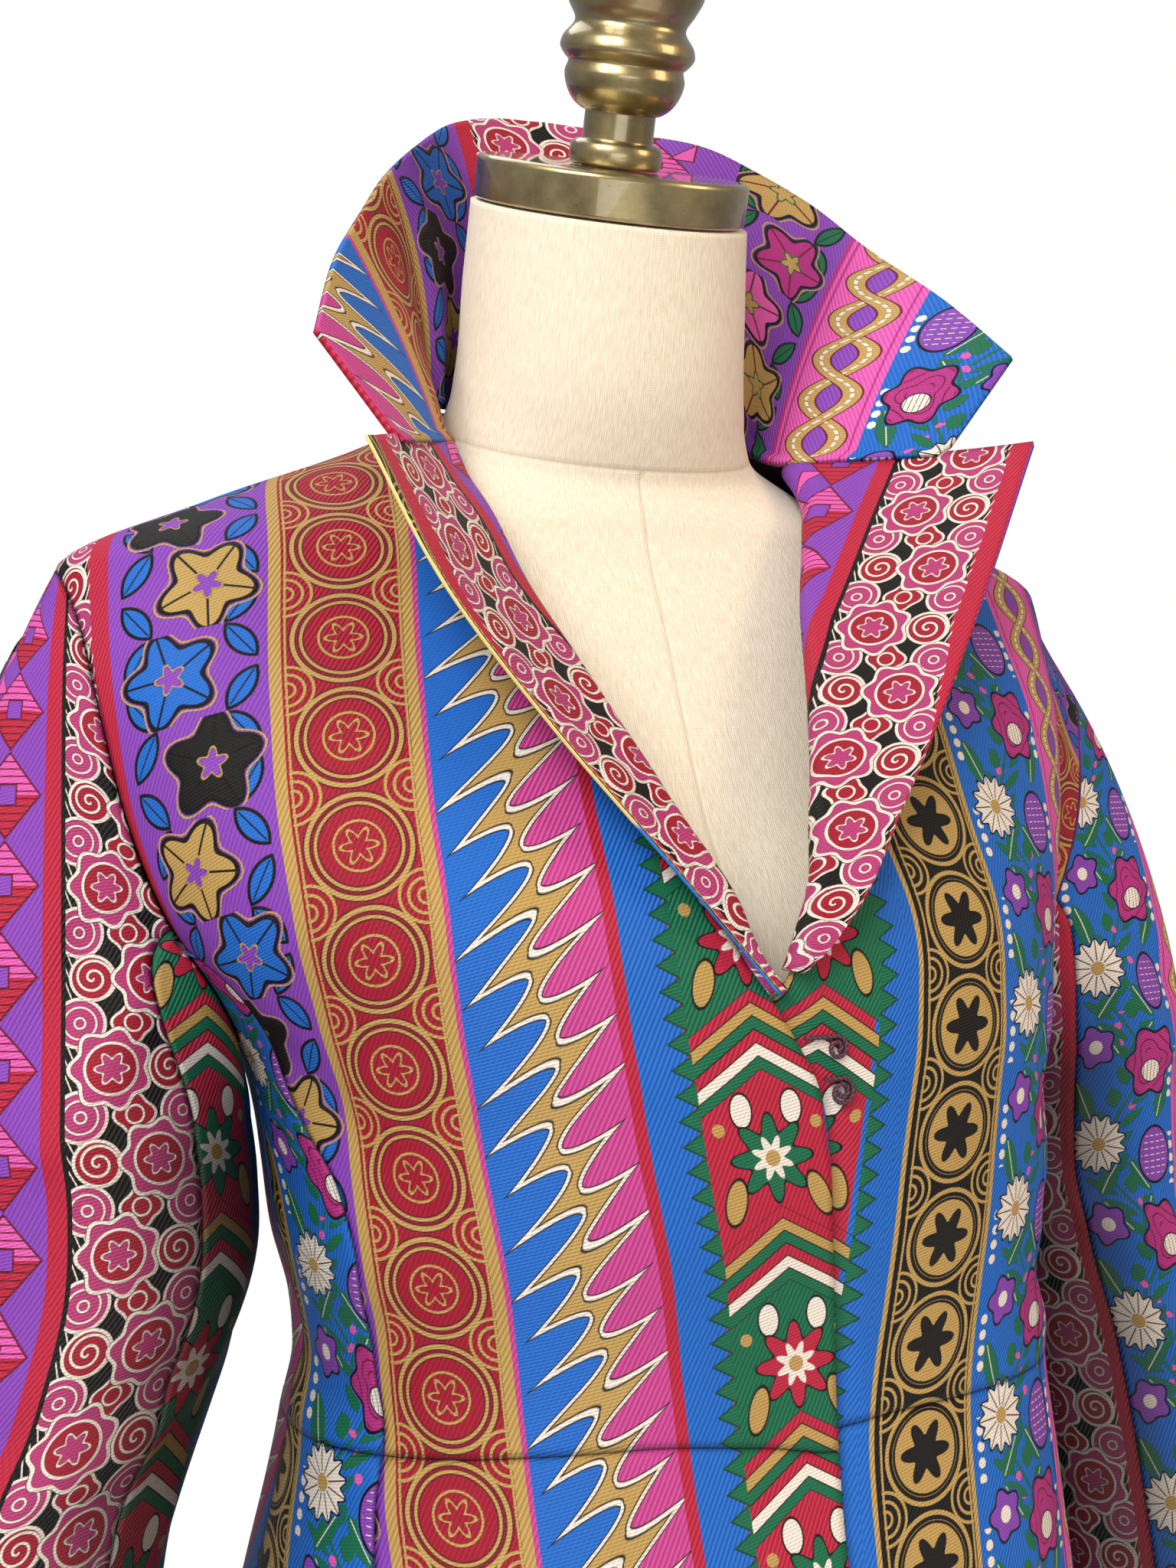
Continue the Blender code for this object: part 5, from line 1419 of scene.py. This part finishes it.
def collar_base():
    """Lower edge of the collar: along the top of the right lapel from the
    notch, round the neckline, and out along the left lapel."""
    line = []
    for side_sign in SIDES:
        grid, _ = lapel_grid(side_sign, np.array([LAPEL_TOP - 100.0, LAPEL_TOP]), 5, 1)
        inner, peak = grid[5, 1], grid[-1, 1]
        share = np.array([1.0 - NOTCH_SHARE[side_sign], 0.8, 0.98])[:, None]
        gorge = peak + (inner - peak) * share
        turn = np.radians(NECKLINE_TURNS)
        rise = NECK_SIDE_HEIGHT + NECK_BACK_RISE * np.sin(turn)
        at = along_for_back(side_sign, NECK_HALF_WIDTH * np.cos(turn), rise)
        side = np.vstack([gorge, torso(side_sign, at, rise)])
        if side_sign == RIGHT:
            middle = [[0.0, BLAZER_RINGS["back"][-1], NECK_SIDE_HEIGHT + NECK_BACK_RISE]]
            line = np.vstack([side, middle])
    return np.vstack([line, side[::-1]]) + np.array([0.0, 0.0, COLLAR_THICKNESS / 2 + SEAM_GAP])


def resample(points, count):
    """A curve through points, spaced evenly by length, each axis smooth."""
    length = path_lengths(points, 0)
    at = np.linspace(0.0, length[-1], count)
    return np.stack([smooth_table(at, length, points[:, k]) for k in range(3)], axis=-1)


def collar_surface(columns, rows):
    """Middle surface of the collar: each column runs from the neckline to
    the upper edge, with a hollow of 4 t (1 - t) times its depth. At the
    sides it starts 4 mm lower, on a narrow stand hidden by the lapels."""
    base = collar_base()
    middle = len(base) // 2
    top = np.stack([np.array(COLLAR_TOP[k], float) for k in "xyz"], axis=-1)
    back = np.array([np.interp(COLLAR_BACK_INDEX, np.arange(len(top)), top[:, k]) for k in range(3)])
    split, half = int(COLLAR_BACK_INDEX) + 1, columns // 2 + 1
    low = np.concatenate([resample(base[:middle + 1], half), resample(base[middle:], half)[1:]])
    high = np.concatenate([resample(np.vstack([top[:split], back]), half),
                           resample(np.vstack([back, top[split:]]), half)[1:]])
    centre = (low + high) / 2
    inward = unit(np.array([0.0, 4.0, 0.0]) - centre * np.array([1.0, 1.0, 0.0]))
    share = np.abs(np.linspace(-1.0, 1.0, columns))[:, None]
    depth = COLLAR_HOLLOW * ramp(share, 1.0, HOLLOW_FLATTENS)
    length = np.linalg.norm(high - low, axis=-1, keepdims=True)
    start = -COLLAR_STAND / length * ramp(share, STAND_FROM, STAND_FULL)
    t = start + (1.0 - start) * np.linspace(0.0, 1.0, rows)[:, None, None]
    above, below = np.maximum(t, 0.0), np.maximum(-t, 0.0) * length
    bend = depth * 4 * above * (1 - above) + np.minimum(below * 1.4, STAND_TUCK)
    points = low + (high - low) * t + inward * bend
    return points, grid_normals(points)


points, normals = collar_surface(COLLAR_COLUMNS, COLLAR_ROWS)
round_collar, up_collar = path_lengths(points, 1), path_lengths(points, 0)
round_collar = round_collar - round_collar[:, COLLAR_COLUMNS // 2][:, None]
u = COLLAR_U + COLLAR_GATHER * round_collar[STRIPE_ROW] + 0.0 * up_collar
points = points + normals * COLLAR_THICKNESS / 2
cloth_piece("collar", points, normals, u, up_collar, COLLAR_THICKNESS, "c", True)
print("collar:", round(float(round_collar[-1, -1] - round_collar[-1, 0])), "mm along its upper edge")

# %% [markdown]
# ## Cut sizes
# Each piece of cloth has kept how wide and long it lies flat, by its longest
# lines, and its own area, which is smaller than that rectangle. The loop below
# works out what each piece rests on and the share of that rectangle that its
# area fills, at least 0.3, and keeps neither.

# %% Every piece of cloth and the size it was cut to
LEAST_SHARE = 0.3
RESTS = {"collar": ["cloth_back_right", "cloth_back_left"], "lapel_right": ["cloth_front_right"],
         "lapel_left": ["cloth_front_left"]}
for node, (piece, width, length, area) in SHEETS.items():
    rests = RESTS.get(node, ["form_torso"])
    share = min(1.0, max(LEAST_SHARE, area / (width * length)))
    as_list(rests)
print("sheets:", len(SHEETS), "cloth area:", round(sum(sheet[3] for sheet in SHEETS.values()), 3), "m2")

# %% [markdown]
# ## Dress form
# The torso is padded and covered in natural linen, cut in panels with a seam
# down the centre front and one round the base of the neck. A form could be
# sculpted, but it is round all over, so a stack of tilted rings is enough.
# Linen is a dull plain weave with slubs: a thread here is drawn 0.9 mm wide,
# twice its real size, because a finer one wouldn't show.

# %% Linen
LINEN, LINEN_SHADE = "#E6DECD", "#BFB193"
LINEN_THREAD, SLUBS_PER_METRE = 0.9, (1150.0, 170.0, 1.0)
linen, tree = new_material("natural linen")
fields = cloth_fields(tree, seam="seam_distance")
at = add_node(tree, "ShaderNodeVectorMath", {0: fields["chart"], 1: SLUBS_PER_METRE}, operation="MULTIPLY")
slub = add_node(tree, "ShaderNodeTexNoise", {"Vector": at.outputs[0], "Scale": 1.0, "Detail": 3.0})
# The tone darkens within 0.9 mm of each seam: a line of painted shade in the seam's groove.
fields = draw(tree, f"""
warp = sin(x * 1000 * {FULL_TURN} / {LINEN_THREAD})
weft = sin(y * 1000 * {FULL_TURN} / {LINEN_THREAD})
thread = 0.5 + 0.3 * warp + 0.16 * weft + (slub - 0.5) * 1.7
sunk = clip(seam / 0.9)
tone = clip(thread * 0.7 + 0.3) * (0.35 + 0.65 * sunk)
h = thread * 0.14 + min(seam, 1.6) * 0.3
""", slub=slub.outputs["Fac"], **fields)
finish(tree, lay_over(tree, srgb(LINEN_SHADE), (fields["tone"], LINEN)), fields["h"],
       {"Roughness": 0.85, "Sheen Weight": 0.2}, strength=0.7)
print("linen nodes:", len(tree.nodes))

# %% Tables of the form
FORM_RINGS = {
    "height": (-290, -205, -120, -38, 0, 60, 127, 165, 195, 222,
               260, 300, 322, 342, 358, 368, 377, 388, 402, 440, 468.4),
    "x": (0, 0, 0, 0, 0, 0, 0, 0, 0, 0, 0, 0, 0, 0, 0, 0, 0, 0, 0, 0.3, 0.6),
    "y": (0, 0, 0, 0, 0, 0, 0, 0, 0, 2, 4, 6, 8, 10, 10, 9, 8, 4.6, 0, -8, -14.4),
    "half_width": (150, 168, 158, 142, 126, 128, 136, 143, 148, 152,
                   160, 168, 170, 143, 105, 86, 71, 64, 60.5, 57.3, 55.5),
    "front": (92, 104, 102, 96, 92, 96, 103, 104, 93, 80, 68, 56, 50, 49, 49, 48, 48, 50, 52, 54, 54),
    "back": (112, 128, 122, 100, 87, 89, 94, 102, 105, 106, 100, 84, 70, 60, 52, 49, 46, 48, 50, 53, 54),
    "tilt": (0, 0, 0, 0, 0, 0, 0, 0, 0, 0, 0, 0, 2, 8, 17, 23, 27, 26.5, 26, 26, 26.5),
    "pinch": (0, 0, 0, 0, 0, 0, 0, 0, 0, 0, 0, 0, 0, 0, 0.05, 0.12, 0.16, 0.13, 0.06, 0, 0),
    "lean": (0, 0, 0, 0, 0, 0, 0, 0, 0, 0, 0, 0, 0, 0, 0, 0, 0, 0.3, 0.6, 1.6, 2.2),
}
FORM_SQUARENESS, FORM_COLUMNS, NECK_SEAM_HEIGHT = 2.15, 193, 381.0


def form_rings(heights, columns):
    """Closed rings of the form. With w the angle from the centre back, x
    follows sin(w) to the power 2/n and y follows cos(w) to the same power: a
    superellipse of squareness n, pinched towards the back and then tilted.
    The last column repeats the first, so the cloth can be cut there."""
    value = {name: column(FORM_RINGS, name, heights)[:, None] for name in FORM_RINGS if name != "height"}
    angle = np.linspace(0.0, FULL_TURN, columns)[None, :] + math.pi
    power = 2.0 / FORM_SQUARENESS
    x = np.sign(np.sin(angle)) * np.abs(np.sin(angle)) ** power * value["half_width"]
    depth = np.where(np.cos(angle) > 0, value["front"], value["back"])
    y = -np.sign(np.cos(angle)) * np.abs(np.cos(angle)) ** power * depth
    x = x * (1.0 - value["pinch"] * np.clip(y / depth, 0.0, 1.0))
    tilt, lean = np.radians(value["tilt"]), np.radians(value["lean"])
    rise = y * np.sin(tilt) + x * np.sin(lean)
    return np.stack([value["x"] + x * np.cos(lean), value["y"] + y * np.cos(tilt),
                     heights[:, None] + rise], axis=-1)


# %% Torso and neck
heights = np.unique(np.concatenate([even_rows(-290.0, 320.0, 8.0), even_rows(322.0, 468.1, 2.0),
                                    NECK_SEAM_HEIGHT + np.array([-0.5, 0.0, 0.5])]))
rings = form_rings(heights, FORM_COLUMNS)
ends = [rings[0].mean(axis=0), rings[-1].mean(axis=0)]
index = np.arange(rings.size // 3).reshape(rings.shape[:2])
walls, fans = closed_faces(index[:, :-1], index[:, 1:])
points = placed(np.vstack([rings.reshape(-1, 3), ends]))
form = surface_mesh("linen_form", points, walls.tolist() + fans.tolist())
form.data.materials.append(linen)

round_form, up_form = path_lengths(rings, 1), path_lengths(rings, 0)
from_front = round_form - round_form[:, FORM_COLUMNS // 2][:, None]
chart = np.stack([from_front, up_form], axis=-1).reshape(-1, 2)
chart = np.vstack([chart, [[0.0, 0.0], [0.0, 760.0]]]) * MM
write_chart(form.data, chart[np.concatenate([walls.reshape(-1), fans.reshape(-1)])])

from_neck = np.abs(heights[:, None] - NECK_SEAM_HEIGHT) + 0.0 * round_form
front_seam = np.where(heights[:, None] < NECK_SEAM_HEIGHT, np.abs(from_front), FAR_FROM_SEAM)
back_seam = np.minimum(round_form, round_form[:, -1:] - round_form)
nearest = np.minimum(np.minimum(from_neck, front_seam), back_seam)
write_mark(form.data, "seam_distance", np.append(nearest, [FAR_FROM_SEAM, FAR_FROM_SEAM]))
hand_over(form, "form_torso")
print("form:", len(walls) + len(fans), "faces")

# %% [markdown]
# ## Neck cap and finial
# Both are turned brass, darkened by age under a thick clear lacquer: the metal
# below is stained and half rough, and the lacquer above it is smooth, which
# gives the flat top of the cap its mirror of the room. Each is a profile
# turned about one tilted axis, as on the lathe that made it.

# %% Antique brass
brass, tree = new_material("antique brass, lacquered")
at = add_node(tree, "ShaderNodeTexCoord").outputs["Object"]
stain = add_node(tree, "ShaderNodeTexNoise", {"Vector": at, "Scale": 60.0, "Detail": 5.0})
speck = add_node(tree, "ShaderNodeTexNoise", {"Vector": at, "Scale": 900.0, "Detail": 2.0})
fields = draw(tree, """
spots = clip((speck - 0.62) * 9) * 0.35
tone = clip((stain - 0.36) * 2.6)
rough = 0.26 + stain * 0.16
h = stain * 0.3 - spots * 0.10
""", stain=stain.outputs["Fac"], speck=speck.outputs["Fac"])
metal = lay_over(tree, srgb("#857650"), (fields["tone"], "#B7A878"), (fields["spots"], "#4A3D22"))
finish(tree, metal, fields["h"], {"Roughness": fields["rough"], "Metallic": 0.9, "Coat Weight": 1.0,
                                  "Coat Roughness": 0.04}, strength=0.25)

# %% Turned surfaces
CAP_TILT, CAP_LEAN, CAP_CENTRE = 26.5, 2.2, (0.0, -22.0, 484.0)
CAP_PROFILE = {
    "height": (-16.7, -16.7, -16.3, -15.4, -2.2, -1.2, -0.4, 0.0, 0.0),
    "radius": (0.0, 53.2, 54.1, 54.5, 54.5, 54.2, 53.4, 52.3, 0.0),
}
FINIAL_PROFILE = {
    "height": (0.3, 0.3, 1.5, 5.0, 8.6, 9.8, 10.0, 20.1, 20.6, 23.6, 28.1, 33.4, 37.3, 38.7, 42.7,
               45.3, 51.9, 57.3, 64.3, 73.2, 81.2, 84.7, 88.2, 94.4, 101.5, 105.9, 107.3),
    "radius": (0.0, 17.2, 18.2, 18.6, 17.6, 15.6, 14.2, 14.0, 15.4, 19.6, 22.4, 23.6, 22.6, 24.0, 26.4,
               25.8, 21.6, 24.4, 27.2, 23.6, 14.0, 11.0, 11.6, 14.2, 10.6, 5.0, 0.0),
}


def fine_profile(profile, spacing):
    """Profile with points no further apart than the spacing: a smooth curve
    through its points by length, kept sharp where two points meet closely."""
    r, z = np.array(profile["radius"], float), np.array(profile["height"], float)
    length = path_lengths(np.stack([r, z], axis=-1), 0)
    at = np.unique(np.concatenate([length, np.arange(0.0, length[-1], spacing)]))
    return smooth_table(at, length, r), smooth_table(at, length, z)


def turned(node, profile, spacing, sides):
    """Turned body on the tilted axis of the neck cap: each point of the
    profile makes one circle, and both ends close on the axis."""
    radius, height = fine_profile(profile, spacing)
    angle = np.linspace(0.0, FULL_TURN, sides, endpoint=False)
    rings = np.stack([radius[1:-1, None] * np.cos(angle), radius[1:-1, None] * np.sin(angle),
                      height[1:-1, None] + 0.0 * angle], axis=-1)
    turn = mathutils.Euler((math.radians(CAP_TILT), -math.radians(CAP_LEAN), 0.0)).to_matrix()
    local = np.vstack([rings.reshape(-1, 3), [0.0, 0.0, height[0]], [0.0, 0.0, height[-1]]])
    index = np.arange(rings.size // 3).reshape(-1, sides)
    walls, fans = closed_faces(index, np.roll(index, -1, axis=1))
    points = placed(local @ np.array(turn).T + np.array(CAP_CENTRE))
    made = surface_mesh("turned_" + node, points, walls.tolist() + fans.tolist())
    made.data.materials.append(brass)
    return hand_over(made, node)


turned("neck_cap", CAP_PROFILE, spacing=0.6, sides=160)
turned("finial", FINIAL_PROFILE, spacing=0.8, sides=120)
print("turned brass: cap and finial")

# %% [markdown]
# ## Closure cords
# Two small spirals of twisted cord on the left front stand for closures, each
# with a short end that runs to the edge of the right front. Each is a round
# tube along a route on the cloth. A cord of two strands catches light on each
# strand and shade between them: the relief follows a twist, and the colour
# follows it too, as painted light on the strands and painted shade between.

# %% Twisted cord
TWIST_PER_MM, STRANDS = 3.2, 2
cord, tree = new_material("twisted satin cord, plum")
# The tone is painted light on the ridges of the twist and painted shade in its grooves.
fields = draw(tree, f"""
twist = sin(y * 1000 * {TWIST_PER_MM} + x * {FULL_TURN} * {STRANDS})
h = twist * 0.16
tone = 0.5 + 0.5 * twist
""", **cloth_fields(tree))
plum = lay_over(tree, srgb("#2E1524"), (fields["tone"], "#5A3348"))
finish(tree, plum, fields["h"], {"Roughness": 0.5})

# Name, side distance and height of the middle, and number of turns.
COILS = (("coil_upper", 24.0, 143.0, 1.45), ("coil_lower", 26.0, 128.0, 1.8))
COIL_START, COIL_PITCH, COIL_CORD, CORD_SIDES = 1.15, 2.0, 1.6, 14


def cord_tube(node, route, normals):
    """Round cord along a route, as rings square to it, closed at the ends."""
    ahead = unit(np.gradient(route, axis=0))
    across = unit(np.cross(ahead, normals))
    lifted = np.cross(across, ahead)
    angle = -np.linspace(0.0, FULL_TURN, CORD_SIDES, endpoint=False)[None, :, None]
    out = np.cos(angle) * across[:, None] + np.sin(angle) * lifted[:, None]
    rings = route[:, None] + COIL_CORD / 2 * out
    points = np.vstack([rings.reshape(-1, 3), route[:1], route[-1:]])
    index = np.arange(rings.size // 3).reshape(-1, CORD_SIDES)
    walls, fans = closed_faces(index, np.roll(index, -1, axis=1))
    made = surface_mesh("cord_" + node, placed(points), walls.tolist() + fans.tolist())
    made.data.materials.append(cord)
    row, side = np.meshgrid(np.arange(len(route) - 1), np.arange(CORD_SIDES), indexing="ij")
    turned_by = 1.0 - np.stack([side, side + 1, side + 1, side], axis=-1) / CORD_SIDES
    length = path_lengths(route, 0)[np.stack([row, row, row + 1, row + 1], axis=-1)] * MM
    chart = np.stack([turned_by, length], axis=-1).reshape(-1, 2)
    write_chart(made.data, np.vstack([chart, np.zeros((fans.size, 2))]))
    return hand_over(made, node)


for node, middle, level, turns in COILS:
    angle = np.linspace(0.0, turns * FULL_TURN, int(turns * 48))
    radius = COIL_START + COIL_PITCH * angle / FULL_TURN
    outer = angle - angle[-1] + math.pi / 2
    side, height = middle + radius * np.cos(outer), level + radius * np.sin(outer)
    run = np.linspace(side[-1], float(column(FRONT_EDGE, "right", level)) + 0.9, 14)[1:]
    side, height = np.append(side, run), np.append(height, np.full(len(run), height[-1]))
    along = along_for_side(LEFT, side, height)
    normals = torso_normal(LEFT, along, height)
    cord_tube(node, torso(LEFT, along, height) + normals * (COIL_CORD / 2 + SEAM_GAP), normals)
print("cords:", [name for name, *_ in COILS])

# %% [markdown]
# ## Base board
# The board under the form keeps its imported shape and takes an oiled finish.
# The grain of dark wood is long one way and about 10 mm wide the other, and
# oil leaves it half matt, with its pores just open.

# %% Oiled wood
GRAIN_PER_METRE = (12.0, 90.0, 90.0)
wood, tree = new_material("oiled wood, dark")
at = add_node(tree, "ShaderNodeTexCoord").outputs["Object"]
at = add_node(tree, "ShaderNodeVectorMath", {0: at, 1: GRAIN_PER_METRE}, operation="MULTIPLY").outputs[0]
noise = {"Vector": at, "Scale": 1.0, "Detail": 6.0, "Distortion": 0.6}
grain = add_node(tree, "ShaderNodeTexNoise", noise).outputs["Fac"]
finish(tree, lay_over(tree, srgb("#3A2315"), (grain, "#6E4628")), grain, {"Roughness": 0.42}, 0.4, 0.0006)
board = frame["nodes"]["base_board"]
for slot in board.material_slots:
    slot.material = wood
print("board:", board.name)
